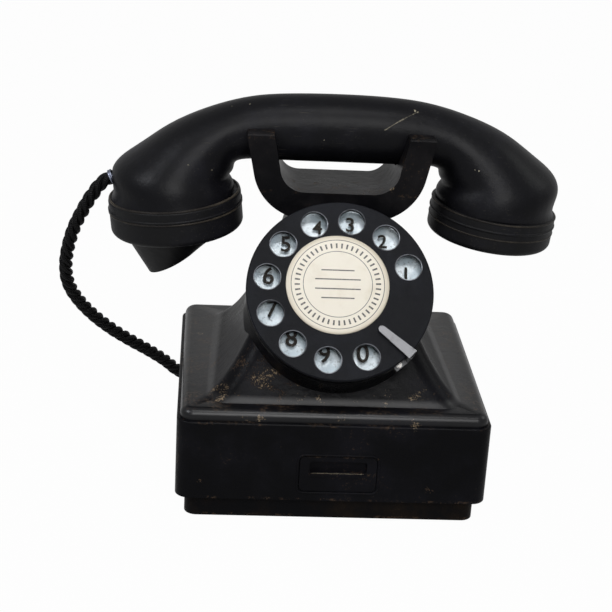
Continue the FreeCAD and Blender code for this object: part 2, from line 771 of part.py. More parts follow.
def dial_spring():
    """Flat spiral return spring round the main shaft, wound of half circles."""
    thick = 0.35
    step = 0.55
    turns = 4
    inner_r = SHAFT_R + 0.3
    z0 = BRIDGE_S + 1.0
    outline = []
    for side in (0.0, thick):
        arcs = []
        centre_x = 0.0
        radius = inner_r + side
        sign = 1
        for _ in range(2 * turns):
            start = Vec(centre_x + sign * radius, 0, z0)
            middle = Vec(centre_x, sign * radius, z0)
            end = Vec(centre_x - sign * radius, 0, z0)
            arcs.append(Part.Arc(start, middle, end).toShape())
            centre_x += sign * step / 2
            radius += step / 2
            sign = -sign
        outline.append(arcs)
    inner, outer = outline
    caps = [
        Part.makeLine(inner[0].Vertexes[0].Point, outer[0].Vertexes[0].Point),
        Part.makeLine(inner[-1].Vertexes[-1].Point, outer[-1].Vertexes[-1].Point),
    ]
    wire = Part.Wire(Part.__sortEdges__(inner + outer + caps))
    return on_dial(Part.Face(wire).extrude(Vec(0, 0, 3.6)))


def ring_sector(inner, outer, start_deg, end_deg, z0, z1):
    """A piece of a flat ring between two angles, less than half a turn."""
    middle = (start_deg + end_deg) / 2
    corners = []
    for radius, angles in ((inner, (start_deg, middle, end_deg)), (outer, (end_deg, middle, start_deg))):
        corners.append([Vec(*polar(radius, angle), z0) for angle in angles])
    near, far = corners
    edges = [
        Part.Arc(*near).toShape(),
        Part.makeLine(near[2], far[0]),
        Part.Arc(*far).toShape(),
        Part.makeLine(far[2], near[0]),
    ]
    return Part.Face(Part.Wire(edges)).extrude(Vec(0, 0, z1 - z0))


def stop_screw_point():
    """Where the stop's screw goes through the case's lug."""
    return polar(LUG_R - LUG_W / 2, STOP_DEG + LUG_PAD_DEG - LUG_SWEEP_DEG * 0.78)


def finger_stop():
    """Tapered steel stop over the wheel, folded down past its rim onto the case's lug."""
    top = STOP_LIFT + STOP_T
    fold_in = WHEEL_R + STOP_RIM_GAP
    fold_out = fold_in + STOP_T
    half_tip = STOP_TIP_W / 2
    half_root = STOP_ROOT_W / 2
    flange_top = CASE_FLANGE_T - BOSS_DROP
    outline = (
        (STOP_TIP_X, STOP_TIP_Y - half_tip), (fold_out, -half_root), (fold_out, half_root), (STOP_TIP_X, STOP_TIP_Y + half_tip)
    )
    blade = polygon_prism(outline, STOP_LIFT, top)
    tip = rod(half_tip, STOP_LIFT, top, STOP_TIP_X, STOP_TIP_Y)
    drop = block(fold_in, fold_out, -half_root, half_root, flange_top, top)
    foot = ring_sector(
        LUG_R - LUG_W, LUG_R, LUG_PAD_DEG, LUG_PAD_DEG - LUG_SWEEP_DEG, flange_top, flange_top + STOP_T
    )
    stop = fuse([blade, tip, drop, foot])
    stop.rotate(Vec(0, 0, 0), Vec(0, 0, 1), STOP_DEG)
    return on_dial(stop.cut(rod(0.85, flange_top, flange_top + STOP_T, *stop_screw_point())))


def stop_screw():
    """Small screw through the stop's foot."""
    flange_top = CASE_FLANGE_T - BOSS_DROP
    x, y = stop_screw_point()
    head = rod(1.5, flange_top + STOP_T, flange_top + STOP_T + 0.8, x, y)
    return on_dial(head.fuse(rod(0.8, -BOSS_DROP + 0.2, flange_top + STOP_T, x, y)).removeSplitter())


# Cradle

def trough_face(y, top_x, side_x, side_z, floor_x, floor_z):
    """The fork's inner U as a wire at depth y, open above the fork."""
    top = FORK_TOP_Z + 1.0
    sag = 0.30
    bend = Vec(side_x + (floor_x - side_x) * sag, y, floor_z + (side_z - floor_z) * sag)
    edges = [
        Part.makeLine(Vec(top_x, y, top), Vec(side_x, y, side_z)),
        Part.Arc(Vec(side_x, y, side_z), bend, Vec(floor_x, y, floor_z)).toShape(),
        Part.makeLine(Vec(floor_x, y, floor_z), Vec(-floor_x, y, floor_z)),
        Part.Arc(Vec(-floor_x, y, floor_z), Vec(-bend.x, y, bend.z), Vec(-side_x, y, side_z)).toShape(),
        Part.makeLine(Vec(-side_x, y, side_z), Vec(-top_x, y, top)),
        Part.makeLine(Vec(-top_x, y, top), Vec(top_x, y, top)),
    ]
    return Part.Wire(edges)


def cradle_fork():
    """U-shaped fork with four horns and a channel for the handle."""
    y = FORK_FRONT
    shoulder = Vec(FORK_TOP_HALF_W - 4.2, y, FORK_TOP_Z - 20.5)
    bend = Vec(FORK_TOP_HALF_W - 9.9, y, FORK_TOP_Z - 32.8)
    foot = Vec(FORK_FOOT_HALF_W, y, FORK_Z + 2.6)
    right = [Vec(FORK_TOP_HALF_W, y, FORK_TOP_Z), shoulder, bend, foot, Vec(NECK_HALF_W, y, FORK_Z)]
    left = [Vec(-p.x, p.y, p.z) for p in right]
    edges = [
        Part.makeLine(right[0], right[1]),
        Part.Arc(right[1], right[2], right[3]).toShape(),
        Part.makeLine(right[3], right[4]),
        Part.makeLine(right[4], left[4]),
        Part.makeLine(left[4], left[3]),
        Part.Arc(left[3], left[2], left[1]).toShape(),
        Part.makeLine(left[1], left[0]),
        Part.makeLine(left[0], right[0]),
    ]
    fork = Part.Face(Part.Wire(edges)).extrude(Vec(0, FORK_REAR - FORK_FRONT, 0))
    fork = fork.makeFillet(FORK_EDGE_R, level_edges(fork, FORK_TOP_Z))
    front = trough_face(FORK_FRONT - 0.1, TROUGH_TOP_HALF_W, 29.6, TROUGH_Z + 12.0, 17.0, TROUGH_Z)
    rear_x = TROUGH_TOP_HALF_W - TROUGH_DRAFT
    rear = trough_face(FORK_REAR + 0.1, rear_x, 28.4, TROUGH_Z + 8.0, 18.0, TROUGH_Z - TROUGH_FALL)
    fork = fork.cut(Part.makeLoft([front, rear], True, True))
    seat_y = HANDLE_D / 2 + SEAT_SIDE
    seat_z = HANDLE_H / 2 + SEAT_GAP
    reach = FORK_TOP_HALF_W + 5.0
    round_seat = squeezed_circle(Vec(-reach, HANDSET_Y, HANDLE_Z), Vec(0, seat_y, 0), Vec(0, 0, seat_z))
    channel = Part.Face(Part.Wire([round_seat])).extrude(Vec(2 * reach, 0, 0))
    above = block(-reach, reach, HANDSET_Y - seat_y, HANDSET_Y + seat_y, HANDLE_Z, FORK_TOP_Z + 2.0)
    boss_room = on_dial(rod(WHEEL_R + 0.9, -BOSS_DEEP, 0.0))
    stem_hole = rod(STEM_R + 0.02, FORK_Z - 1.0, FORK_Z + STEM_IN_FORK, 0.0, STEM_Y)
    return fork.cut([channel, above, boss_room, stem_hole]).removeSplitter()


def squeezed_circle(centre, across, up):
    """A unit circle carried onto two half axes, as one closed edge that starts along the first."""
    third = across.cross(up).normalize()
    matrix = FreeCAD.Matrix(
        across.x, up.x, third.x, centre.x,
        across.y, up.y, third.y, centre.y,
        across.z, up.z, third.z, centre.z,
        0, 0, 0, 1,
    )
    return Part.makeCircle(1.0).transformGeometry(matrix).Edges[0]


def cradle_stem():
    """Stem under the fork, with the collar that works the hook contacts."""
    spigot = rod(STEM_SPIGOT_R, STEM_Z, COLLAR_Z, 0.0, STEM_Y)
    collar = rod(COLLAR_R, COLLAR_Z, COLLAR_Z + COLLAR_T, 0.0, STEM_Y)
    stem = rod(STEM_R, COLLAR_Z + COLLAR_T, FORK_Z + STEM_IN_FORK, 0.0, STEM_Y)
    return fuse([spigot, collar, stem])


def stem_bush():
    """Brass guide for the stem in the neck's roof."""
    return tube(BUSH_R, STEM_R + RUN_FIT, NECK_Z - BUSH_L, NECK_Z, 0.0, STEM_Y)


def cradle_spring():
    """Spring that lifts the fork, drawn as a plain sleeve because the housing hides it."""
    return tube(5.2, STEM_SPIGOT_R + 0.4, BRACKET_SHELF_Z + BRACKET_T, COLLAR_Z, 0.0, STEM_Y)


def bracket_screw_xs():
    """The two bracket screws' places across the neck."""
    return (3.3 - BRACKET_HALF_W, BRACKET_HALF_W - 3.3)


def hook_bracket():
    """Bent plate that hangs from the neck's roof and carries spring and contacts."""
    roof = NECK_Z - NECK_ROOF
    back = STEM_Y + BRACKET_BACK
    half = BRACKET_HALF_W - 1.0
    flange = block(-BRACKET_HALF_W, BRACKET_HALF_W, STEM_Y - 11.0, back + BRACKET_T, roof - BRACKET_T, roof)
    flange = flange.cut(rod(BUSH_R + 0.3, roof - BRACKET_T, roof, 0.0, STEM_Y))
    plate = block(-half, half, back, back + BRACKET_T, BRACKET_SHELF_Z, roof)
    shelf = block(-half, half, STEM_Y - 8.0, back + BRACKET_T, BRACKET_SHELF_Z, BRACKET_SHELF_Z + BRACKET_T)
    whole = fuse([flange, plate, shelf])
    return whole.cut([rod(1.55, roof - BRACKET_T, roof, x, STEM_Y) for x in bracket_screw_xs()])


def bracket_screws():
    """Two screws that hold the bracket to the roof."""
    roof = NECK_Z - NECK_ROOF
    screws = []
    for x in bracket_screw_xs():
        head = rod(2.6, roof - BRACKET_T - 1.6, roof - BRACKET_T, x, STEM_Y)
        screws.append(head.fuse(rod(1.5, roof - BRACKET_T, NECK_Z - 1.2, x, STEM_Y)).removeSplitter())
    return Part.makeCompound(screws)


def hook_blades():
    """Two contact blades just under the stem's collar."""
    top = COLLAR_Z - 0.3
    blades = []
    for side in (-1, 1):
        xs = sorted((side * 5.7, side * 8.2))
        blades.append(block(xs[0], xs[1], STEM_Y - 3.0, STEM_Y + BRACKET_BACK, top - 0.4, top))
    return Part.makeCompound(blades)


def hook_blocks():
    """Insulating blocks that grip the hook blades on the bracket."""
    top = COLLAR_Z - 0.3
    y0 = STEM_Y + BRACKET_BACK - 6.0
    y1 = STEM_Y + BRACKET_BACK
    return Part.makeCompound([
        block(-9.5, 9.5, y0, y1, top - 5.4, top - 0.4),
        block(-9.5, 9.5, y0, y1, top, top + 5.0),
    ])


# Drawer

def card_drawer():
    """Pull-out drawer with a finger recess in its front and an open tray behind."""
    front = drawer_opening(-DRAWER_GAP, -HALF_D, DRAWER_FRONT_T - HALF_D)
    half_w = PULL_W / 2
    z0 = DRAWER_Z - 0.1
    pull = soft_pull(half_w, z0, z0 + PULL_H, -HALF_D - 1.0, PULL_DEEP - HALF_D)
    lip = block(DRAWER_X - half_w, DRAWER_X + half_w, -HALF_D - PULL_LIP, 1.0 - HALF_D, z0 - 1.0, z0)
    half_tray = DRAWER_W / 2 - DRAWER_GAP - 1.2
    bottom = DRAWER_Z - DRAWER_H / 2 + DRAWER_GAP + 0.4
    rear = DRAWER_L - HALF_D
    tray = block(
        DRAWER_X - half_tray, DRAWER_X + half_tray, DRAWER_FRONT_T - HALF_D - 1.0, rear, bottom, DRAWER_Z + 4.0
    )
    hollow = block(
        DRAWER_X - half_tray + DRAWER_WALL, DRAWER_X + half_tray - DRAWER_WALL,
        DRAWER_FRONT_T - HALF_D, rear - DRAWER_WALL, bottom + DRAWER_WALL, DRAWER_Z + 5.0,
    )
    return front.cut(pull).fuse([lip, tray.cut(hollow)]).removeSplitter()


def soft_pull(half_w, z0, z1, y0, y1):
    """The finger recess, a rounded slot."""
    corners = [Vec(DRAWER_X + sx * half_w, y0, z) for sx, z in ((-1, z0), (1, z0), (1, z1), (-1, z1))]
    return Part.Face(rounded_loop(corners, 1.5)).extrude(Vec(0, y1 - y0, 0))


def drawer_card():
    """Card that lies in the drawer."""
    half = DRAWER_W / 2 - DRAWER_GAP - 1.2 - DRAWER_WALL - 0.4
    bottom = DRAWER_Z - DRAWER_H / 2 + DRAWER_GAP + 0.4 + DRAWER_WALL
    return block(
        DRAWER_X - half, DRAWER_X + half, DRAWER_FRONT_T - HALF_D + 0.4, DRAWER_L - HALF_D - DRAWER_WALL - 0.4, bottom, bottom + CARD_T
    )


def drawer_guide():
    """Folded channel on the plinth that the drawer slides in."""
    half = DRAWER_W / 2 - DRAWER_GAP - 1.2 + 0.3
    floor_top = DRAWER_Z - DRAWER_H / 2 + 0.4
    y0 = PLINTH_INSET + PLINTH_WALL + 1.2 - HALF_D
    y1 = DRAWER_L - HALF_D + 1.6
    top = DRAWER_Z + 5.5
    sides = [block(DRAWER_X + half, DRAWER_X + half + GUIDE_T, y0, y1, FLOOR_Z, top)]
    sides.append(block(DRAWER_X - half - GUIDE_T, DRAWER_X - half, y0, y1, FLOOR_Z, top))
    floor = block(DRAWER_X - half - GUIDE_T, DRAWER_X + half + GUIDE_T, y0, y1, floor_top - GUIDE_T, floor_top)
    stop = block(DRAWER_X - half - GUIDE_T, DRAWER_X + half + GUIDE_T, y1 - GUIDE_T, y1, floor_top - GUIDE_T, top)
    return fuse(sides + [floor, stop])


# Ringer

def gong(side):
    """A domed gong with its rim down."""
    x = side * GONG_X
    outer = dome(GONG_R, GONG_H)
    inner = dome(GONG_R - GONG_T, GONG_H - GONG_T)
    bell = outer.cut(inner).cut(rod(GONG_SCREW_R + RUN_FIT, 0.0, GONG_H + 1.0))
    bell.translate(Vec(x, GONG_Y, GONG_Z))
    return bell


def dome(radius, height):
    """A dome with a near-upright rim and a flat crown, turned about Z."""
    crown = radius * 0.35
    points = [Vec(0, 0, 0), Vec(radius, 0, 0), Vec(crown, 0, height), Vec(0, 0, height)]
    bulge = Vec(radius * 0.84, 0, height * 0.66)
    edges = [
        Part.makeLine(points[0], points[1]),
        Part.Arc(points[1], bulge, points[2]).toShape(),
        Part.makeLine(points[2], points[3]),
        Part.makeLine(points[3], points[0]),
    ]
    return Part.Face(Part.Wire(edges)).revolve(Vec(0, 0, 0), Vec(0, 0, 1), 360)


def gong_posts():
    """Two posts on the plinth that carry the gongs."""
    top = GONG_Z + GONG_H - GONG_T
    posts = []
    for side in (-1, 1):
        post = rod(GONG_POST_R, FLOOR_Z, top, side * GONG_X, GONG_Y)
        posts.append(post.cut(rod(GONG_SCREW_R + RUN_FIT, top - 7.0, top, side * GONG_X, GONG_Y)))
    return Part.makeCompound(posts)


def gong_screws():
    """Screws that hold the gongs on their posts."""
    top = GONG_Z + GONG_H
    screws = []
    for side in (-1, 1):
        head = rod(4.0, top, top + 2.2, side * GONG_X, GONG_Y)
        screws.append(head.fuse(rod(GONG_SCREW_R, top - GONG_T - 6.6, top, side * GONG_X, GONG_Y)).removeSplitter())
    return Part.makeCompound(screws)


def armature_y():
    """The near face of the armature."""
    return COIL_FRONT_Y + COIL_L + CORE_PROUD + ARMATURE_GAP


def ringer_frame():
    """Raised plate that carries coils, magnet and armature pivot."""
    top = COIL_Z - COIL_CHEEK
    y0 = COIL_FRONT_Y - 5.0
    y1 = armature_y() + ARMATURE_T + 5.0
    plate = block(-RINGER_HALF_W, RINGER_HALF_W, y0, y1, top - RINGER_PLATE_T, top)
    legs = []
    for side in (-1, 1):
        xs = sorted((side * RINGER_HALF_W, side * (RINGER_HALF_W - RINGER_PLATE_T)))
        legs.append(block(xs[0], xs[1], y0, y1, FLOOR_Z, top))
        xs = sorted((side * RINGER_HALF_W, side * (RINGER_HALF_W + 8.0)))
        legs.append(block(xs[0], xs[1], y0, y1, FLOOR_Z, FLOOR_Z + RINGER_PLATE_T))
    hole = rod(PIVOT_R + 0.01, top - RINGER_PLATE_T, top, 0.0, armature_y() + ARMATURE_T / 2)
    return fuse([plate] + legs).cut(hole)


def ringer_coils():
    """Two wound bobbins with square cheeks."""
    coils = []
    for side in (-1, 1):
        x = side * COIL_X
        start = Vec(x, COIL_FRONT_Y, COIL_Z)
        end = Vec(x, COIL_FRONT_Y + COIL_L, COIL_Z)
        winding = rod_between(start, end, COIL_R)
        cheeks = []
        for y in (COIL_FRONT_Y, COIL_FRONT_Y + COIL_L - COIL_CHEEK_T):
            cheeks.append(block(x - COIL_CHEEK, x + COIL_CHEEK, y, y + COIL_CHEEK_T, COIL_Z - COIL_CHEEK, COIL_Z + COIL_CHEEK))
        coils.append(fuse([winding] + cheeks).cut(rod_between(start, end, CORE_R + 0.02)))
    return Part.makeCompound(coils)


def coil_cores():
    """Iron cores of the coils, on one heel plate."""
    cores = []
    for side in (-1, 1):
        start = Vec(side * COIL_X, COIL_FRONT_Y - 1.0, COIL_Z)
        cores.append(rod_between(start, Vec(side * COIL_X, COIL_FRONT_Y + COIL_L + CORE_PROUD, COIL_Z), CORE_R))
    heel = block(-COIL_X - 8.0, COIL_X + 8.0, COIL_FRONT_Y - 3.0, COIL_FRONT_Y, COIL_Z - COIL_CHEEK, COIL_Z + 6.0)
    return fuse([heel] + cores)


def ringer_armature():
    """Rocking bar in front of the cores."""
    y = armature_y()
    bar = block(-ARMATURE_HALF_W, ARMATURE_HALF_W, y, y + ARMATURE_T, COIL_Z - ARMATURE_H / 2, COIL_Z + ARMATURE_H / 2)
    hub = rod(2.4, COIL_Z - ARMATURE_H / 2, COIL_Z + ARMATURE_H / 2, 0.0, y + ARMATURE_T / 2)
    return bar.fuse(hub).cut(rod(PIVOT_R + RUN_FIT, 0.0, 60.0, 0.0, y + ARMATURE_T / 2)).removeSplitter()


def armature_pin():
    """Upright pin that the armature rocks on, with a shoulder under it."""
    y = armature_y() + ARMATURE_T / 2
    bottom = COIL_Z - COIL_CHEEK
    shoulder = rod(2.4, bottom, COIL_Z - ARMATURE_H / 2 - 0.2, 0.0, y)
    return shoulder.fuse(rod(PIVOT_R, bottom - RINGER_PLATE_T, COIL_Z + ARMATURE_H / 2 + 3.0, 0.0, y)).removeSplitter()


def clapper():
    """Rod and ball that strike the gongs."""
    start = Vec(0, armature_y() + ARMATURE_T / 2 + 2.4, COIL_Z)
    ball = Part.makeSphere(CLAPPER_R, Vec(0, GONG_Y, COIL_Z))
    return ball.fuse(rod_between(start, Vec(0, GONG_Y, COIL_Z), CLAPPER_ROD_R)).removeSplitter()


# Circuit parts on the plinth

def capacitor():
    """Bell capacitor in a tin can with two tags."""
    x0 = CAN_SIDE_GAP - PLINTH_INNER_X
    y0 = CAN_FRONT_GAP - PLINTH_INNER_Y
    top = FLOOR_Z + CAN_H
    can = soft_block(x0, x0 + CAN_W, y0, y0 + CAN_L, FLOOR_Z, top, 2.0)
    tag_x = x0 + CAN_W / 2 - TAG_W
    tags = [
        block(tag_x, tag_x + TAG_W, y, y + TAG_T, top, top + TAG_H)
        for y in (y0 + TAG_INSET, y0 + CAN_L - TAG_INSET - TAG_T)
    ]
    return fuse([can] + tags)


def induction_coil():
    """Induction coil: winding between square cheeks on an iron core."""
    x = PLINTH_INNER_X - INDUCTION_SIDE_GAP - INDUCTION_HALF
    z = FLOOR_Z + INDUCTION_HALF
    y0 = INDUCTION_FRONT_GAP - PLINTH_INNER_Y
    y1 = y0 + INDUCTION_L
    winding = rod_between(Vec(x, y0 + INDUCTION_CHEEK_T, z), Vec(x, y1 - INDUCTION_CHEEK_T, z), INDUCTION_R)
    core = rod_between(
        Vec(x, y0 - INDUCTION_CORE_PROUD, z), Vec(x, y1 + INDUCTION_CORE_PROUD, z), INDUCTION_CORE_R
    )
    cheeks = [
        block(x - INDUCTION_HALF, x + INDUCTION_HALF, y, y + INDUCTION_CHEEK_T, FLOOR_Z, z + INDUCTION_HALF)
        for y in (y0, y1 - INDUCTION_CHEEK_T)
    ]
    return fuse([winding, core] + cheeks)


def terminal_points():
    """Where the terminals stand along the strip."""
    x = STRIP_SIDE_GAP + STRIP_W / 2 - PLINTH_INNER_X
    first = PLINTH_INNER_Y - STRIP_REAR_GAP - STRIP_L / 2 - TERMINAL_STEP * (TERMINALS - 1) / 2
    return [(x, first + TERMINAL_STEP * step) for step in range(TERMINALS)]


def terminal_block():
    """Moulded strip with its terminals' holes."""
    x0 = STRIP_SIDE_GAP - PLINTH_INNER_X
    y1 = PLINTH_INNER_Y - STRIP_REAR_GAP
    top = FLOOR_Z + STRIP_H
    strip = block(x0, x0 + STRIP_W, y1 - STRIP_L, y1, FLOOR_Z, top)
    hole_r = TERMINAL_R + RUN_FIT
    return strip.cut([rod(hole_r, top - TERMINAL_SINK - 0.4, top, x, y) for x, y in terminal_points()])


def terminal_screws():
    """The strip's terminal screws."""
    top = FLOOR_Z + STRIP_H
    screws = []
    for x, y in terminal_points():
        head = rod(TERMINAL_HEAD_R, top, top + TERMINAL_HEAD_T, x, y)
        screws.append(head.fuse(rod(TERMINAL_R, top - TERMINAL_SINK, top, x, y)).removeSplitter())
    return Part.makeCompound(screws)


# Handset

def at_cap(shape, centre_x, tilt):
    """Moves a shape from cap coordinates (Z up the cap's axis from its joint) into the telephone."""
    placed = shape.copy()
    placed.Placement = cap_place(centre_x, tilt).multiply(placed.Placement)
    return placed


def cap_place(centre_x, tilt):
    """Placement of a cap's joint, leaning so that its outer side is lower."""
    side = 1 if centre_x > 0 else -1
    return FreeCAD.Placement(Vec(centre_x, HANDSET_Y, CAP_Z), FreeCAD.Rotation(Vec(0, 1, 0), side * tilt))


def handset_section(inner_x, inner_z, outer_x, outer_z, half_y):
    """A closed oval whose ends in the XZ plane are its inner and outer points."""
    centre = Vec((inner_x + outer_x) / 2, HANDSET_Y, (inner_z + outer_z) / 2)
    outward = Vec((outer_x - inner_x) / 2, 0, (outer_z - inner_z) / 2)
    return Part.Wire([squeezed_circle(centre, Vec(0, -half_y, 0), outward)])


def half_sections(centre_x, tilt, cap_r, drop):
    """The sections of one half, from beside the middle to its cap."""
    side = 1 if centre_x > 0 else -1
    rim = cap_place(centre_x, tilt)
    rim_r = cap_r - CUP_STEP
    rim_in = rim.multVec(Vec(-side * rim_r, 0, 0))
    rim_out = rim.multVec(Vec(side * rim_r, 0, 0))
    bottom = HANDLE_Z - HANDLE_H / 2
    top = HANDLE_Z + HANDLE_H / 2
    depth = HANDLE_D / 2
    rows = (
        (24.0, bottom, 24.5, top - 0.6, depth + 0.1),
        (46.0, bottom, 48.0, top - 3.6, depth + 0.3),
        (51.8, bottom - 3.6, 74.0, top - 12.0 - drop / 2, depth + 4.0),
        (53.6, bottom - 7.6, 92.0, top - 22.0 - drop, depth + 8.5),
        (53.2, CAP_Z + 9.0, 106.8, CAP_Z + 20.6 - drop, depth + 13.0),
        (51.6, CAP_Z + 3.6, 112.6, CAP_Z + 7.0, depth + 16.2),
    )
    sections = [handset_section(side * a, b, side * c, d, e) for a, b, c, d, e in rows]
    sections.append(handset_section(rim_in.x, rim_in.z, rim_out.x, rim_out.z, rim_r))
    return sections


def handset_shell():
    """Moulded handle with its two cups, bored for the leads."""
    left = half_sections(MOUTH_X, MOUTH_TILT_DEG, MOUTH_CAP_R, MOUTH_SHOULDER_DROP)
    right = half_sections(EAR_X, EAR_TILT_DEG, EAR_CAP_R, 0.0)
    half_h = HANDLE_H / 2
    middle = handset_section(0.0, HANDLE_Z - half_h, 0.0, HANDLE_Z + half_h, HANDLE_D / 2)
    body = Part.makeLoft(list(reversed(left)) + [middle] + right, True, False, False, 3)
    hollows = []
    spigots = []
    for centre_x, tilt in ((MOUTH_X, MOUTH_TILT_DEG), (EAR_X, EAR_TILT_DEG)):
        side = 1 if centre_x > 0 else -1
        spigots.append(at_cap(rod(SPIGOT_R, -SPIGOT_L, SPIGOT_SINK), centre_x, tilt))
        hollows.append(at_cap(rod(SPIGOT_R - SPIGOT_WALL, -SPIGOT_L, SPIGOT_SINK), centre_x, tilt))
        hollows.append(at_cap(rod(POCKET_R, 0.0, POCKET_H), centre_x, tilt))
        hollows.append(rod(HANDSET_BORE_R, CAP_Z + 2.0, HANDLE_Z, side * WELL_X, HANDSET_Y))
    hollows.append(rod_between(Vec(-WELL_X, HANDSET_Y, HANDLE_Z - 2.0), Vec(WELL_X, HANDSET_Y, HANDLE_Z - 2.0), HANDSET_BORE_R))
    root, bend, _ = ferrule_points()
    hollows.append(rod_between(root, bend, FERRULE_R + 0.02))
    hollows.append(rod_between(root, root.add(Vec(7.0, 0, -5.0)), LEAD_R))
    shell = body.fuse(spigots)
    for hollow in hollows:
        shell = shell.cut(hollow)
    return shell.removeSplitter()


def cap_shell(radius, height):
    """A screwed cap: ring with a bead round it, open above, closed below."""
    inner = SPIGOT_R + SPIGOT_FIT
    body = rod(radius, -height, 0.0)
    body = body.makeFillet(CAP_EDGE_R, level_edges(body, -height))
    body = body.makeFillet(1.0, level_edges(body, 0.0))
    bead = Part.makeTorus(radius - 0.3, CAP_BEAD_R, Vec(0, 0, -CAP_BEAD_DROP))
    return body.fuse(bead).cut(rod(inner, CAP_WALL - height, 0.0))


def ear_cap():
    """Receiver cap with sound holes."""
    floor = CAP_WALL - EAR_CAP_H
    holes = [rod(EAR_HOLE_R, -EAR_CAP_H, floor)]
    for step in range(6):
        holes.append(rod(EAR_HOLE_R, -EAR_CAP_H, floor, *polar(EAR_HOLE_CIRCLE_R, 60.0 * step)))
    dish = Part.makeCone(20.0, 17.0, 1.2, Vec(0, 0, -EAR_CAP_H))
    cap = cap_shell(EAR_CAP_R, EAR_CAP_H).cut(holes + [dish])
    return at_cap(cap.removeSplitter(), EAR_X, EAR_TILT_DEG)


def mouth_horn(shrink, lower, upper):
    """The slanted mouthpiece between the cap's face and its lip, in cap coordinates."""
    base = Part.Wire([Part.makeCircle(HORN_BASE_R - shrink, Vec(0, 0, upper))])
    tilt = (HORN_LIP_TILT_DEG - MOUTH_TILT_DEG) * DEG
    normal = Vec(math.sin(tilt), 0, -math.cos(tilt))
    centre = Vec(HORN_LIP_X, 0, -HORN_LIP_DROP).add(Vec(normal).multiply(lower))
    lip = Part.Wire([Part.makeCircle(HORN_LIP_R - shrink, centre, normal.multiply(-1))])
    return Part.makeLoft([base, lip], True, True)


def mouth_cap():
    """Transmitter cap with the slanted mouthpiece that reaches towards the mouth."""
    floor = CAP_WALL - MOUTH_CAP_H
    horn = mouth_horn(0.0, 0.0, floor - 1.0)
    hollow = mouth_horn(HORN_WALL, 0.6, floor + 0.5)
    cap = cap_shell(MOUTH_CAP_R, MOUTH_CAP_H).fuse(horn).cut(hollow)
    return at_cap(cap.removeSplitter(), MOUTH_X, MOUTH_TILT_DEG)


def capsule(centre_x, tilt, cap_h):
    """Receiver or transmitter capsule: a flat can with a contact stud behind."""
    bottom = CAP_WALL - cap_h + CAPSULE_FIT
    radius = SPIGOT_R - SPIGOT_WALL - CAPSULE_FIT
    can = rod(radius, bottom, bottom + CAPSULE_H)
    stud = rod(6.0, bottom + CAPSULE_H, bottom + CAPSULE_H + 3.0)
    return at_cap(can.fuse(stud).removeSplitter(), centre_x, tilt)


# Cords

def ferrule_points():
    """The ferrule's inner end, its bend and the point where the rope starts."""
    return Vec(*FERRULE_ROOT), Vec(*FERRULE_BEND), Vec(*ROPE_ROUTE[0])


def cord_ferrule():
    """Bent collar in the handset's end that holds the rope."""
    root, bend, end = ferrule_points()
    elbow = Part.makeSphere(FERRULE_R, bend)
    solid = rod_between(root, bend, FERRULE_R).fuse(elbow).fuse(rod_between(bend, end, FERRULE_R))
    return solid.cut(rod_between(root, bend, LEAD_R)).cut(rod_between(bend, end, LEAD_R)).removeSplitter()


def cord_gland():
    """Bush in the housing's rear wall that the rope goes into, with a short sleeve round the rope's end."""
    end = Vec(*GLAND_ROUTE[-1])
    back = Vec(*GLAND_ROUTE[-2]).sub(end).normalize()
    flange = rod_between(Vec(GLAND_X, HALF_D, GLAND_Z), Vec(GLAND_X, HALF_D + GLAND_FLANGE_T, GLAND_Z), GLAND_FLANGE_R)
    neck = rod_between(Vec(GLAND_X, HALF_D - WALL - 1.5, GLAND_Z), Vec(GLAND_X, HALF_D, GLAND_Z), GLAND_R - RUN_FIT)
    root = end.sub(Vec(back).multiply(3.0))
    sleeve = rod_between(root, end.add(Vec(back).multiply(GLAND_SLEEVE)), ROPE_R + 1.1)
    sleeve = sleeve.common(block(GLAND_X - 20.0, GLAND_X + 20.0, HALF_D + 0.2, HALF_D + 30.0, 0.0, 60.0))
    sleeve = sleeve.cut(rod_between(end, end.add(Vec(back).multiply(GLAND_SLEEVE + 1.0)), ROPE_R + 0.1))
    lead = rod_between(Vec(GLAND_X, HALF_D - WALL - 1.5, GLAND_Z), Vec(GLAND_X, HALF_D + 4.0, GLAND_Z), LEAD_R)
    return fuse([flange, neck, sleeve]).cut(lead)


def line_inlet():
    """Rubber bush in the rear wall for the line cord."""
    inside = HALF_D - WALL
    outer = rod_between(Vec(INLET_X, HALF_D, INLET_Z), Vec(INLET_X, HALF_D + INLET_PROUD, INLET_Z), INLET_R)
    waist = rod_between(Vec(INLET_X, inside, INLET_Z), Vec(INLET_X, HALF_D, INLET_Z), INLET_R - 1.0 - RUN_FIT)
    inner = rod_between(Vec(INLET_X, inside - INLET_INSIDE, INLET_Z), Vec(INLET_X, inside, INLET_Z), INLET_R)
    bore = rod_between(
        Vec(INLET_X, inside - INLET_INSIDE, INLET_Z), Vec(INLET_X, HALF_D + INLET_PROUD, INLET_Z), INLET_BORE_R
    )
    return fuse([outer, waist, inner]).cut(bore)


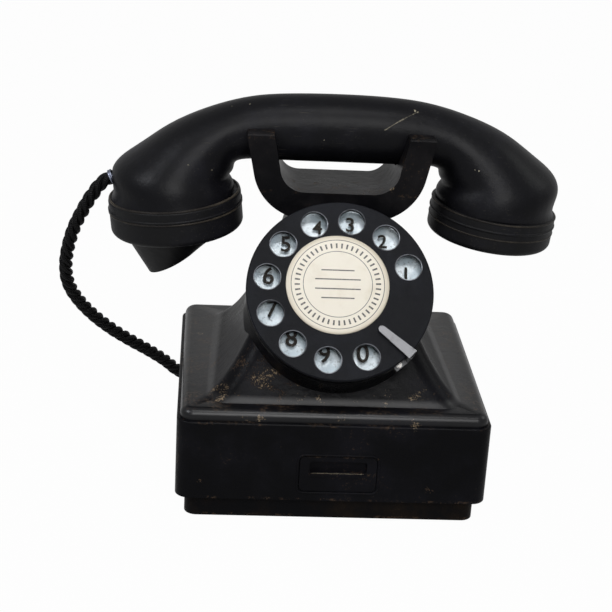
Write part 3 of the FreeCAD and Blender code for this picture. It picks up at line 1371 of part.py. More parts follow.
def rope_path(route):
    """Straight runs joined by tangent arcs along a route, with their radii printed."""
    points = [Vec(*point) for point in route]
    edges = []
    radii = []
    start = points[0]
    for before, corner, after in zip(points, points[1:], points[2:]):
        back = before.sub(corner)
        ahead = after.sub(corner)
        shorter = min(back.Length, ahead.Length)
        turn = math.pi - back.getAngle(ahead)
        radius = 0.45 * shorter / math.tan(turn / 2)
        radii.append(round(radius, 1))
        back = back.normalize()
        ahead = ahead.normalize()
        arc_start = corner.add(Vec(back).multiply(0.45 * shorter))
        arc_end = corner.add(Vec(ahead).multiply(0.45 * shorter))
        sink = radius / math.cos(turn / 2) - radius
        middle = corner.add(Vec(back).add(ahead).normalize().multiply(sink))
        edges.append(Part.LineSegment(start, arc_start).toShape())
        edges.append(Part.Arc(arc_start, middle, arc_end).toShape())
        start = arc_end
    edges.append(Part.LineSegment(start, points[-1]).toShape())
    print("rope bend radii:", radii)
    return Part.Wire(edges)


def rope_tube(route):
    """A plain tube along a route."""
    path = rope_path(route)
    start = Vec(*route[0])
    ahead = Vec(*route[1]).sub(start)
    section = Part.Wire([Part.makeCircle(ROPE_R, start, ahead)])
    rope = path.makePipeShell([section], True, False)
    exact = math.pi * ROPE_R ** 2 * path.Length
    print("rope length: %.1f, volume against section times length: %.4f" % (path.Length, rope.Volume / exact))
    return rope


def handset_rope():
    """The rope's two free stretches: handset to coil, and coil to gland."""
    return Part.makeCompound([rope_tube(ROPE_ROUTE), rope_tube(GLAND_ROUTE)])


def coil_tail(end, before):
    """One end of the coil's rope, straight on from where a free stretch ends."""
    start = Vec(*end)
    ahead = start.sub(Vec(*before)).normalize()
    return rod_between(start, start.add(ahead.multiply(ROPE_COIL_TAIL)), ROPE_R)


def rope_coil():
    """The coil of spare rope as one ring, with its two ends leaving it."""
    half = ROPE_COIL_BAND / 2 + ROPE_R
    top = ROPE_COIL_BASE + 2 * ROPE_R + (ROPE_COIL_LAYERS - 1) * ROPE_COIL_PITCH
    outer = rod(ROPE_COIL_MIDDLE_R + half, ROPE_COIL_BASE, top, ROPE_COIL_X, ROPE_COIL_Y)
    inner = rod(ROPE_COIL_MIDDLE_R - half, ROPE_COIL_BASE, top, ROPE_COIL_X, ROPE_COIL_Y)
    ring = outer.cut(inner)
    rims = [edge for edge in ring.Edges if isinstance(edge.Curve, Part.Circle)]
    ring = ring.makeFillet(ROPE_COIL_SOFT_R, rims)
    tails = [coil_tail(ROPE_ROUTE[-1], ROPE_ROUTE[-2]), coil_tail(GLAND_ROUTE[0], GLAND_ROUTE[1])]
    return ring.fuse(tails).removeSplitter()


NODES = {
    "base_plate": base_plate,
    "rubber_feet": rubber_feet,
    "base_screws": base_screws,
    "housing": housing,
    "card_drawer": card_drawer,
    "drawer_card": drawer_card,
    "drawer_guide": drawer_guide,
    "cradle_fork": cradle_fork,
    "cradle_stem": cradle_stem,
    "stem_bush": stem_bush,
    "cradle_spring": cradle_spring,
    "hook_bracket": hook_bracket,
    "bracket_screws": bracket_screws,
    "hook_blades": hook_blades,
    "hook_blocks": hook_blocks,
    "finger_wheel": finger_wheel,
    "dial_label": dial_label,
    "wheel_screw": wheel_screw,
    "finger_stop": finger_stop,
    "dial_case": dial_case,
    "number_plate": number_plate,
    "dial_frame": dial_frame,
    "dial_screws": dial_screws,
    "dial_bridge": dial_bridge,
    "bridge_pillars": bridge_pillars,
    "main_shaft": main_shaft,
    "main_gear": main_gear,
    "dial_spring": dial_spring,
    "pulse_shaft": pulse_shaft,
    "pulse_gear": pulse_gear,
    "pulse_cam": pulse_cam,
    "pulse_blades": pulse_blades,
    "blade_blocks": blade_blocks,
    "governor_shaft": governor_shaft,
    "governor_weights": governor_weights,
    "governor_cup": governor_cup,
    "left_gong": lambda: gong(-1),
    "right_gong": lambda: gong(1),
    "gong_posts": gong_posts,
    "gong_screws": gong_screws,
    "ringer_frame": ringer_frame,
    "ringer_coils": ringer_coils,
    "coil_cores": coil_cores,
    "ringer_armature": ringer_armature,
    "armature_pin": armature_pin,
    "clapper": clapper,
    "capacitor": capacitor,
    "induction_coil": induction_coil,
    "terminal_block": terminal_block,
    "terminal_screws": terminal_screws,
    "handset_shell": handset_shell,
    "ear_cap": ear_cap,
    "mouth_cap": mouth_cap,
    "receiver_capsule": lambda: capsule(EAR_X, EAR_TILT_DEG, EAR_CAP_H),
    "transmitter_capsule": lambda: capsule(MOUTH_X, MOUTH_TILT_DEG, MOUTH_CAP_H),
    "cord_ferrule": cord_ferrule,
    "cord_gland": cord_gland,
    "line_inlet": line_inlet,
    "handset_rope": handset_rope,
    "rope_coil": rope_coil,
}


def main():
    """Builds every node and writes one STEP file for each."""
    os.makedirs("parts", exist_ok=True)
    for name, build in NODES.items():
        shape = build()
        shape.exportStep("parts/%s.step" % name)
        print("%-20s solids %d volume %.1f valid %s" % (name, len(shape.Solids), shape.Volume, shape.isValid()))


main()
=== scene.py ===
import json
import logging
import math
from dataclasses import dataclass
from enum import Enum
from typing import Sequence, Union

import bmesh
import bpy
from mathutils import Matrix, Vector

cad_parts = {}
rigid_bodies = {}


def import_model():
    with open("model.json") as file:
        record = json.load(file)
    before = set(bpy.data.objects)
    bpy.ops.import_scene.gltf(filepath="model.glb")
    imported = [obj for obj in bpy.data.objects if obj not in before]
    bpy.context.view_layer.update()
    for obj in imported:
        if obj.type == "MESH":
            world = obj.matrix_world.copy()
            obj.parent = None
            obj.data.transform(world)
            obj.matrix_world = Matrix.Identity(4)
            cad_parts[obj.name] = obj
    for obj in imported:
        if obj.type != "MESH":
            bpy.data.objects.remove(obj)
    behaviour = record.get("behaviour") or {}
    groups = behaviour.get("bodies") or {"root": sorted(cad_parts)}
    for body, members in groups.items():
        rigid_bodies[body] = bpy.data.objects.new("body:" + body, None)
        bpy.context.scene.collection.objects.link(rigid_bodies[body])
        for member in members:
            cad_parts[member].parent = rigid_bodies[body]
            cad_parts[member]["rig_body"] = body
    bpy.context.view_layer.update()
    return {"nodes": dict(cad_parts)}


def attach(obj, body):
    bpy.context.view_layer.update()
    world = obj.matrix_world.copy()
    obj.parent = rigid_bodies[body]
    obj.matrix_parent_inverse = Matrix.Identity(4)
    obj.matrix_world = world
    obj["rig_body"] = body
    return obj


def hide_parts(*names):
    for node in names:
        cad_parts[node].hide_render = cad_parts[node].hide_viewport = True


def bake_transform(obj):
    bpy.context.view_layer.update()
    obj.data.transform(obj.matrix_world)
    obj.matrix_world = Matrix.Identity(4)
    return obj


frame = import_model()

LOG = logging.getLogger("telephone")
Point = tuple[float, float, float]
Colour = tuple[float, float, float]
Number = Union[float, "Value"]
MM = 0.001
MIRRORED_WHITE = 0.5
WELD_MM = 0.004
CREASE_DEG = 35.0


# Shader maths

class Value:
    """A shader socket that can be added, multiplied and compared as a number."""

    def __init__(self, graph: "NodeSheet", socket: bpy.types.NodeSocket) -> None:
        """Wraps one output socket.

        Args:
            graph: the tree that the socket is in.
            socket: the output socket.
        """
        self.graph = graph
        self.socket = socket

    def __add__(self, other: Number) -> "Value":
        """This plus other."""
        return self.graph.maths("ADD", self, other)

    __radd__ = __add__

    def __sub__(self, other: Number) -> "Value":
        """This minus other."""
        return self.graph.maths("SUBTRACT", self, other)

    def __rsub__(self, other: Number) -> "Value":
        """Other minus this."""
        return self.graph.maths("SUBTRACT", other, self)

    def __mul__(self, other: Number) -> "Value":
        """This times other."""
        return self.graph.maths("MULTIPLY", self, other)

    __rmul__ = __mul__

    def __truediv__(self, other: Number) -> "Value":
        """This divided by other."""
        return self.graph.maths("DIVIDE", self, other)

    def most(self, other: Number) -> "Value":
        """The larger of this and other."""
        return self.graph.maths("MAXIMUM", self, other)

    def least(self, other: Number) -> "Value":
        """The smaller of this and other."""
        return self.graph.maths("MINIMUM", self, other)

    def size(self) -> "Value":
        """This without its sign."""
        return self.graph.maths("ABSOLUTE", self)

    def wave(self) -> "Value":
        """The sine of this, from -1 to 1."""
        return self.graph.maths("SINE", self)


def strongest(masks: Sequence[Value]) -> Number:
    """Joins masks into one.

    Args:
        masks: any number of them.

    Returns:
        The largest at each place, or 0 where there are none.
    """
    result = 0.0
    for mask in masks:
        result = mask.most(result)
    return result


class NodeSheet:
    """The node tree of a material or a world, written as expressions."""

    def __init__(self, owner: Union[bpy.types.Material, bpy.types.World]) -> None:
        """Empties the tree of its owner.

        Args:
            owner: the material or world.
        """
        owner.use_nodes = True
        self.tree = owner.node_tree
        self.tree.nodes.clear()

    def node(self, kind: str, settings: dict, inputs: dict, output: Union[int, str] = 0) -> Value:
        """Adds a node.

        Args:
            kind: the node's type.
            settings: its own properties, which are set first.
            inputs: values or links for its sockets, by name or number.
            output: the socket to hand back.

        Returns:
            The chosen output.
        """
        made = self.tree.nodes.new(kind)
        for key, value in settings.items():
            setattr(made, key, value)
        for key, value in inputs.items():
            if isinstance(value, Value):
                self.tree.links.new(value.socket, made.inputs[key])
            elif isinstance(value, tuple) and made.inputs[key].type == "RGBA":
                made.inputs[key].default_value = (*value[:3], 1.0)
            else:
                made.inputs[key].default_value = value
        return Value(self, made.outputs[output])

    def maths(self, operation: str, a: Number, b: Number = 0.0) -> Value:
        """One Math node on two numbers."""
        return self.node("ShaderNodeMath", {"operation": operation}, {0: a, 1: b})

    def vector(self, operation: str, a: object, b: object, output: Union[int, str] = 0) -> Value:
        """One Vector Math node on two vectors."""
        return self.node("ShaderNodeVectorMath", {"operation": operation}, {0: a, 1: b}, output)

    def seen(self) -> Value:
        """How white the surround and the ground look to each kind of ray.

        Returns:
            1 for the camera and through glass, less for mirrored rays, and 0 for plain light.
        """
        result = self.node("ShaderNodeLightPath", {}, {}, "Is Camera Ray")
        for ray, share in (("Is Glossy Ray", MIRRORED_WHITE), ("Is Transmission Ray", 1.0)):
            result = result.most(self.node("ShaderNodeLightPath", {}, {}, ray) * share)
        return result

    def end(self, kind: str, shader: Value) -> None:
        """Joins a shader to the tree's output, a node of the given type."""
        out = self.tree.nodes.new(kind)
        self.tree.links.new(shader.socket, out.inputs["Surface"])


class ShaderGraph(NodeSheet):
    """One material's node tree, with the textures and masks that the finishes share."""

    def __init__(self, name: str) -> None:
        """Starts an empty material.

        Args:
            name: the material's name.
        """
        self.material = bpy.data.materials.new(name)
        super().__init__(self.material)
        self.place = self.node("ShaderNodeTexCoord", {}, {}, "Object")

    def tint(self, factor: Number, low: object, high: object) -> Value:
        """A colour between low and high."""
        return self.node("ShaderNodeMix", {"data_type": "RGBA"}, {0: factor, 6: low, 7: high}, 2)

    def step(self, value: Value, low: float, high: float) -> Value:
        """A smooth rise from 0 at low to 1 at high."""
        settings = {"interpolation_type": "SMOOTHSTEP", "clamp": True}
        return self.node("ShaderNodeMapRange", settings, {0: value, 1: low, 2: high})

    def band(self, value: Value, middle: float, inner: float, outer: float) -> Value:
        """A soft band round one value.

        Args:
            value: a length in metres.
            middle: the value in the band's middle, in millimetres.
            inner: how far from it the mask is still 1.
            outer: how far from it the mask gets 0.

        Returns:
            The mask.
        """
        return 1.0 - self.step((value - middle * MM).size(), inner * MM, outer * MM)

    def scaled(self, scale: Point, turn: Point = (0.0, 0.0, 0.0)) -> Value:
        """Stretches the object's coordinates.

        Args:
            scale: how much closer the pattern gets along each axis.
            turn: a turn in degrees that follows it.

        Returns:
            The new coordinates.
        """
        angles = tuple(math.radians(angle) for angle in turn)
        inputs = {"Vector": self.place, "Rotation": angles, "Scale": scale}
        return self.node("ShaderNodeMapping", {}, inputs)

    def noise(self, scale: float, detail: float = 3.0, rough: float = 0.55,
              place: Union[Value, None] = None) -> Value:
        """Cloudy noise between 0 and 1."""
        inputs = {"Vector": place or self.place, "Scale": scale, "Detail": detail, "Roughness": rough}
        return self.node("ShaderNodeTexNoise", {}, inputs)

    def cells(self, scale: float) -> Value:
        """Distance to the nearest of many scattered points."""
        return self.node("ShaderNodeTexVoronoi", {}, {"Vector": self.place, "Scale": scale})

    def axes(self, place: Union[Value, None] = None) -> tuple[Value, Value, Value]:
        """The three numbers of a coordinate."""
        split = self.node("ShaderNodeSeparateXYZ", {}, {0: place or self.place}).socket.node
        return tuple(Value(self, socket) for socket in split.outputs)

    def patch(self, blot: "Blot", ragged: Value, edge: "Edge") -> Value:
        """A patch of specks that thins out from its middle.

        Args:
            blot: where it is and how far it reaches.
            ragged: fine noise that breaks it into specks.
            edge: how fast it thins out.

        Returns:
            A mask, 1 on the specks.
        """
        slope, start = edge.value
        middle = tuple(value * MM for value in blot.centre)
        away = self.vector("DISTANCE", self.place, middle, "Value")
        near = 1.0 - away / (blot.radius * MM)
        return self.step(near.most(-2.0) * slope + ragged, start, start + 0.08)

    def streak(self, scratch: "Scratch") -> Value:
        """A thin scratch.

        Args:
            scratch: its two ends and its width.

        Returns:
            A mask, 1 along its middle.
        """
        start = Vector(scratch.start) * MM
        along = Vector(scratch.end) * MM - start
        offset = self.vector("SUBTRACT", self.place, tuple(start))
        share = self.vector("DOT_PRODUCT", offset, tuple(along / along.length_squared), "Value")
        held = share.most(0.0).least(1.0)
        foot = self.node("ShaderNodeVectorMath", {"operation": "SCALE"}, {0: tuple(along), 3: held})
        away = self.vector("DISTANCE", offset, foot, "Value")
        return 1.0 - self.step(away, 0.3 * scratch.width * MM, scratch.width * MM)

    def surface(self, colour: object, rough: Number, metal: Number, height: Value, depth: float,
                **fixed: Number) -> bpy.types.Material:
        """Ends the material in one Principled shader.

        Args:
            colour: base colour, a value or a tuple.
            rough: roughness.
            metal: metallic share.
            height: height for the bump.
            depth: how many metres a height of 1 stands out.
            fixed: values of other sockets, with _ for a space.

        Returns:
            The material.
        """
        inputs = {"Base Color": colour, "Roughness": rough, "Metallic": metal}
        inputs.update({key.replace("_", " "): value for key, value in fixed.items()})
        relief = {"Height": height, "Strength": 1.0, "Distance": depth}
        inputs["Normal"] = self.node("ShaderNodeBump", {}, relief)
        self.end("ShaderNodeOutputMaterial", self.node("ShaderNodeBsdfPrincipled", {}, inputs))
        return self.material


# Finishes

class Edge(Enum):
    """How a patch of specks thins out: the fall of its density over its radius, and its level."""

    CHIP = (0.34, 0.66)
    SCATTER = (0.13, 0.64)


@dataclass(frozen=True)
class Blot:
    """A worn or chipped place on a surface, in millimetres; some on the cradle and the handset are
    painted highlights.
    """

    centre: Point
    radius: float


@dataclass(frozen=True)
class Scratch:
    """A thin pale scratch between two points in millimetres."""

    start: Point
    end: Point
    width: float = 0.35


@dataclass(frozen=True)
class Finish:
    """What every finish has: a name and the record's slot it stands for."""

    name: str
    slot: str

    def dress(self) -> bpy.types.Material:
        """Makes the material the first time and finds it later.

        Returns:
            The finish's material.
        """
        title = self.name + "_finish"
        known = bpy.data.materials.get(title)
        return known or self.mix(ShaderGraph(title))

    def mix(self, graph: ShaderGraph) -> bpy.types.Material:
        """Builds the material; each finish has its own."""
        raise NotImplementedError


@dataclass(frozen=True)
class BlackEnamel(Finish):
    """Old stoved black paint on steel, hazy on the flats and worn brown on its edges; on the drawer and
    the cradle part of that edge and speck colour is a painted highlight.
    """

    colour: Colour = (0.0040, 0.0040, 0.0048)
    cloud_tone: Colour = (0.0075, 0.0075, 0.0100)
    # The edge and blot colour: worn paint, and on the drawer and the cradle partly a painted highlight.
    wear_and_highlight: Colour = (0.085, 0.056, 0.036)
    gold: Colour = (0.36, 0.27, 0.17)
    roughness: float = 0.27
    shine: float = 0.055
    speckle: float = 0.45
    polished: tuple[float, ...] = ()
    levels: tuple[float, ...] = ()
    level_band: tuple[float, float] = (0.3, 1.1)
    uprights: tuple[float, ...] = ()
    upright_wear: tuple[float, float] = (0.4, 1.4)
    brown_blots: tuple[Blot, ...] = ()
    gold_blots: tuple[Blot, ...] = ()

    def mix(self, graph: ShaderGraph) -> bpy.types.Material:
        """Builds the paint with its cloudy tone, worn edges and chips, and the painted highlight that
        some pieces lay with them.

        Args:
            graph: the empty graph to fill.

        Returns:
            The material.
        """
        cloud = graph.noise(34.0, 4.0, 0.6)
        ragged = graph.noise(620.0, 4.0, 0.7)
        patch = graph.noise(95.0, 3.0, 0.6)
        lumps = graph.noise(210.0, 2.0, 0.5)
        specks = graph.noise(1350.0, 3.0, 0.65) + (lumps - 0.5) * 0.7
        grain = graph.noise(1500.0, 2.0, 0.6)
        colour = graph.tint(graph.step(cloud, 0.42, 0.72), self.colour, self.cloud_tone)
        across, _, up = graph.axes()
        edges = [graph.band(up, level, *self.level_band) for level in self.levels]
        edges += [graph.band(across.size(), upright, *self.upright_wear) for upright in self.uprights]
        broad = graph.step(cloud, 0.52, 0.66) * graph.step(ragged, 0.58, 0.68) * self.speckle
        thin = graph.step(patch, 0.48, 0.62) * graph.step(ragged, 0.48, 0.62)
        blots = [graph.patch(blot, specks, Edge.SCATTER) * 0.85 for blot in self.brown_blots]
        # This mask lays the edge and blot colour: wear, and on the drawer and the cradle partly a painted
        # highlight.
        worn = strongest([broad, strongest(edges) * thin * 0.75, *blots])
        colour = graph.tint(worn * 0.8, colour, self.wear_and_highlight)
        bright = strongest([graph.patch(blot, specks, Edge.SCATTER) for blot in self.gold_blots])
        colour = graph.tint(bright * 0.7, colour, self.gold) if self.gold_blots else colour
        rough = cloud * 0.22 + (self.roughness - 0.11) + worn * 0.15 + grain * 0.05
        height = grain * 0.16 + patch * 0.6 + lumps * 0.5 + ragged * 0.2 - worn * 0.3
        coats = {"Coat_Roughness": 0.30}
        if self.polished:
            middle, half = self.polished
            coats["Coat_Weight"] = graph.band(up, middle, 0.5 * half, half) * 0.5
        return graph.surface(colour, rough, 0.0, height, 0.00035, Specular_IOR_Level=self.shine, **coats)


@dataclass(frozen=True)
class Phenolic(Finish):
    """Black moulded handset material with fine scratches, dust, pale specks and dull lighter patches; on
    the cap beads the lighter patches are a painted highlight, and two specks on the right cup are a
    painted glint.
    """

    colour: Colour = (0.0050, 0.0050, 0.0062)
    cloud_tone: Colour = (0.0125, 0.0125, 0.0165)
    pale: Colour = (0.42, 0.38, 0.28)
    roughness: float = 0.34
    shine: float = 0.11
    scratches: tuple[Scratch, ...] = ()
    specks: tuple[Blot, ...] = ()

    def mix(self, graph: ShaderGraph) -> bpy.types.Material:
        """Builds the moulding's gloss, its dust and its scratches.

        Args:
            graph: the empty graph to fill.

        Returns:
            The material.
        """
        cloud = graph.noise(28.0, 4.0, 0.62)
        grain = graph.noise(1300.0, 2.0, 0.6)
        dimple = graph.noise(240.0, 3.0, 0.6)
        fine = graph.noise(1.0, 2.0, 0.5, graph.scaled((90.0, 2600.0, 1500.0), (14.0, -24.0, 8.0)))
        lines = graph.step(fine, 0.66, 0.72) * graph.step(cloud, 0.48, 0.6)
        dust = graph.step(graph.cells(1150.0), 0.16, 0.08) * graph.step(graph.noise(210.0), 0.56, 0.66)
        colour = graph.tint(graph.step(cloud, 0.44, 0.74), self.colour, self.cloud_tone)
        ragged = graph.noise(700.0, 3.0, 0.6)
        broken = graph.step(ragged, 0.36, 0.56) * 0.8
        streaks = [graph.streak(mark) * broken for mark in self.scratches]
        # Pale specks: chips, and on the right cup a painted glint.
        chips = [graph.patch(blot, ragged, Edge.CHIP) * 0.9 for blot in self.specks]
        marks = strongest([lines * 0.10 + dust * 0.16, *streaks, *chips])
        colour = graph.tint(marks, colour, self.pale)
        rough = cloud * 0.20 + (self.roughness - 0.08) + marks * 0.3 + grain * 0.04
        height = dimple * 0.55 + grain * 0.10 - lines * 0.25
        return graph.surface(colour, rough, 0.0, height, 0.00028, Specular_IOR_Level=self.shine)


class Grain(Enum):
    """Which way a metal was brushed or turned."""

    ALONG_X = (40.0, 2400.0, 2400.0)
    ALONG_Y = (900.0, 60.0, 300.0)
    ALONG_Z = (2400.0, 2400.0, 40.0)
    NONE = (900.0, 900.0, 900.0)


@dataclass(frozen=True)
class Metal(Finish):
    """Bare metal with its grain and a little tarnish."""

    colour: Colour = (0.56, 0.55, 0.53)
    tarnish: Colour = (0.22, 0.19, 0.15)
    roughness: float = 0.32
    tarnished: float = 0.35
    bare: float = 1.0
    grain: Grain = Grain.ALONG_X

    def mix(self, graph: ShaderGraph) -> bpy.types.Material:
        """Builds the brushed metal.

        Args:
            graph: the empty graph to fill.

        Returns:
            The material.
        """
        brush = graph.noise(1.0, 3.0, 0.6, graph.scaled(self.grain.value))
        cloud = graph.noise(70.0, 4.0, 0.6)
        dull = graph.step(cloud, 0.46, 0.70) * self.tarnished
        colour = graph.tint(dull, self.colour, self.tarnish)
        rough = brush * 0.16 + (self.roughness - 0.08) + dull * 0.35
        return graph.surface(colour, rough, self.bare, brush * 0.5 + cloud * 0.2, 0.00004)


@dataclass(frozen=True)
class Rubber(Finish):
    """Dull black rubber with a fine skin."""

    colour: Colour = (0.016, 0.016, 0.016)

    def mix(self, graph: ShaderGraph) -> bpy.types.Material:
        """Builds the rubber.

        Args:
            graph: the empty graph to fill.

        Returns:
            The material.
        """
        skin = graph.noise(900.0, 3.0, 0.6)
        bloom = graph.step(graph.noise(60.0), 0.5, 0.75)
        colour = graph.tint(bloom * 0.4, self.colour, (0.06, 0.06, 0.058))
        return graph.surface(colour, skin * 0.1 + 0.68, 0.0, skin, 0.0001, Specular_IOR_Level=0.3)


@dataclass(frozen=True)
class Moulding(Finish):
    """Brown pressed insulating board with a mottled face."""

    colour: Colour = (0.085, 0.036, 0.018)
    light: Colour = (0.19, 0.09, 0.045)

    def mix(self, graph: ShaderGraph) -> bpy.types.Material:
        """Builds the mottled insulator.

        Args:
            graph: the empty graph to fill.

        Returns:
            The material.
        """
        mottle = graph.noise(320.0, 5.0, 0.7)
        colour = graph.tint(graph.step(mottle, 0.42, 0.66), self.colour, self.light)
        return graph.surface(colour, mottle * 0.2 + 0.38, 0.0, mottle, 0.0001)


@dataclass(frozen=True)
class Winding(Finish):
    """Cotton covered wire, whose turns follow one another along Y."""

    colour: Colour = (0.035, 0.10, 0.05)
    light: Colour = (0.10, 0.21, 0.12)
    pitch: float = 0.0006

    def mix(self, graph: ShaderGraph) -> bpy.types.Material:
        """Builds the turns of the winding.

        Args:
            graph: the empty graph to fill.

        Returns:
            The material.
        """
        _, along, _ = graph.axes()
        turns = (along * (2.0 * math.pi / self.pitch)).wave() * 0.5 + 0.5
        fibre = graph.noise(1800.0, 2.0, 0.6)
        colour = graph.tint(turns * 0.6 + fibre * 0.4, self.colour, self.light)
        return graph.surface(colour, fibre * 0.1 + 0.78, 0.0, turns + fibre * 0.3, 0.00018)


@dataclass(frozen=True)
class Card(Finish):
    """Aged cream card."""

    colour: Colour = (0.62, 0.55, 0.40)
    stain: Colour = (0.42, 0.33, 0.20)

    def mix(self, graph: ShaderGraph) -> bpy.types.Material:
        """Builds the card.

        Args:
            graph: the empty graph to fill.

        Returns:
            The material.
        """
        fibre = graph.noise(1600.0, 4.0, 0.7)
        stain = graph.step(graph.noise(55.0, 4.0, 0.6), 0.5, 0.78)
        colour = graph.tint(stain * 0.6 + fibre * 0.12, self.colour, self.stain)
        return graph.surface(colour, 0.72, 0.0, fibre, 0.00006)


@dataclass(frozen=True)
class PrintedCard(Finish):
    """The dial's cream centre with a ring of ticks and ruled lines, read from its UV map in metres."""

    colour: Colour = (0.88, 0.82, 0.70)
    stain: Colour = (0.70, 0.62, 0.48)
    ink: Colour = (0.020, 0.017, 0.015)
    radius: float = 24.3
    rings: tuple[tuple[float, float], ...] = ((22.4, 0.16), (16.6, 0.16))
    tick_ring: tuple[float, float] = (18.2, 20.8)
    ticks: int = 48
    rules: tuple[tuple[float, float, float], ...] = (
        (7.0, 8.0, 0.30), (2.4, 11.0, 0.30), (-2.4, 11.0, 0.30), (-7.0, 8.0, 0.30),
    )
    soft: float = 0.09

    def mix(self, graph: ShaderGraph) -> bpy.types.Material:
        """Builds the card with its print.

        Args:
            graph: the empty graph to fill.

        Returns:
            The material.
        """
        place = graph.node("ShaderNodeTexCoord", {}, {}, "UV")
        across, up, _ = graph.axes(place)
        away = graph.vector("LENGTH", place, (0.0, 0.0, 0.0), "Value")
        angle = graph.maths("ARCTAN2", up, across)
        beat = (angle * float(self.ticks)).wave()
        inner, outer = self.tick_ring
        reach = 0.5 * (outer - inner)
        ring = graph.band(away, inner + reach, reach - self.soft, reach)
        marks = [ring * graph.step(beat, 0.35, 0.7)]
        for radius, width in self.rings:
            marks.append(graph.band(away, radius, width - self.soft, width + self.soft))
        for height, half, width in self.rules:
            line = graph.band(up, height, width - self.soft, width + self.soft)
            marks.append(line * graph.band(across, 0.0, half - self.soft, half))
        ink = strongest(marks)
        fade = graph.step(graph.noise(1300.0, 3.0, 0.7, place), 0.30, 0.48)
        stain = graph.step(graph.noise(90.0, 4.0, 0.6, place), 0.48, 0.8)
        rim = graph.step(away, (self.radius - 3.0) * MM, self.radius * MM)
        paper = graph.tint((stain * 0.55).most(rim * 0.6), self.colour, self.stain)
        colour = graph.tint(ink * (fade * 0.35 + 0.62), paper, self.ink)
        fibre = graph.noise(2200.0, 3.0, 0.6, place)
        coat = {"Coat_Weight": 0.2, "Coat_Roughness": 0.2}
        return graph.surface(colour, fibre * 0.1 + 0.42, 0.0, fibre, 0.00003, **coat)


@dataclass(frozen=True)
class PlateEnamel(Finish):
    """Pale blue-grey vitreous enamel with cloudy patches and dark flecks."""

    colour: Colour = (0.42, 0.50, 0.55)
    light: Colour = (0.64, 0.71, 0.75)
    grime: Colour = (0.07, 0.08, 0.08)

    def mix(self, graph: ShaderGraph) -> bpy.types.Material:
        """Builds the enamel plate.

        Args:
            graph: the empty graph to fill.

        Returns:
            The material.
        """
        cloud = graph.noise(120.0, 4.0, 0.62)
        fleck = graph.noise(520.0, 4.0, 0.7)
        colour = graph.tint(graph.step(cloud, 0.40, 0.62), self.colour, self.light)
        colour = graph.tint(graph.step(fleck, 0.54, 0.70) * 0.6, colour, self.grime)
        coat = {"Coat_Weight": 0.3, "Coat_Roughness": 0.15}
        return graph.surface(colour, cloud * 0.2 + 0.22, 0.15, fleck, 0.00006, **coat)


@dataclass(frozen=True)
class FigureInk(Finish):
    """Worn dark ink of the dial's figures."""

    colour: Colour = (0.014, 0.012, 0.010)
    worn: Colour = (0.070, 0.058, 0.046)

    def mix(self, graph: ShaderGraph) -> bpy.types.Material:
        """Builds the ink.

        Args:
            graph: the empty graph to fill.

        Returns:
            The material.
        """
        fleck = graph.noise(1500.0, 3.0, 0.7)
        colour = graph.tint(graph.step(fleck, 0.52, 0.68), self.colour, self.worn)
        return graph.surface(colour, 0.60, 0.0, fleck, 0.00003, Specular_IOR_Level=0.15)


@dataclass(frozen=True)
class Cotton(Finish):
    """Braided cotton over the rope's strands, read from the strand's UV map in metres."""

    colour: Colour = (0.0014, 0.0014, 0.0016)
    light: Colour = (0.0075, 0.0073, 0.0078)
    pitch: float = 0.00125
    crossings: float = 5.0

    def mix(self, graph: ShaderGraph) -> bpy.types.Material:
        """Builds the braid.

        Args:
            graph: the empty graph to fill.

        Returns:
            The material.
        """
        place = graph.node("ShaderNodeTexCoord", {}, {}, "UV")
        along, round_it, _ = graph.axes(place)
        turn = round_it * (2.0 * math.pi * self.crossings)
        run = along * (2.0 * math.pi / self.pitch)
        braid = (run + turn).wave() * (run - turn).wave() * 0.5 + 0.5
        fuzz = graph.noise(2600.0, 3.0, 0.7)
        dust = graph.step(graph.noise(180.0, 3.0, 0.6), 0.5, 0.72)
        colour = graph.tint(braid * 0.30 + fuzz * 0.22 + dust * 0.22, self.colour, self.light)
        height = braid + fuzz * 0.4
        return graph.surface(colour, fuzz * 0.12 + 0.38, 0.0, height, 0.00022, Specular_IOR_Level=0.10)


@dataclass(frozen=True)
class Ground(Finish):
    """White studio ground that keeps a faint shadow."""

    white: float = 0.98
    albedo: float = 0.35

    def mix(self, graph: ShaderGraph) -> bpy.types.Material:
        """Builds the ground.

        Args:
            graph: the empty graph to fill.

        Returns:
            The material.
        """
        diffuse = graph.node("ShaderNodeBsdfDiffuse", {}, {"Color": (self.albedo,) * 3})
        glow = graph.node("ShaderNodeEmission", {}, {"Color": (1.0, 1.0, 1.0), "Strength": 1.0})
        inputs = {0: graph.seen() * self.white, 1: diffuse, 2: glow}
        graph.end("ShaderNodeOutputMaterial", graph.node("ShaderNodeMixShader", {}, inputs))
        return graph.material


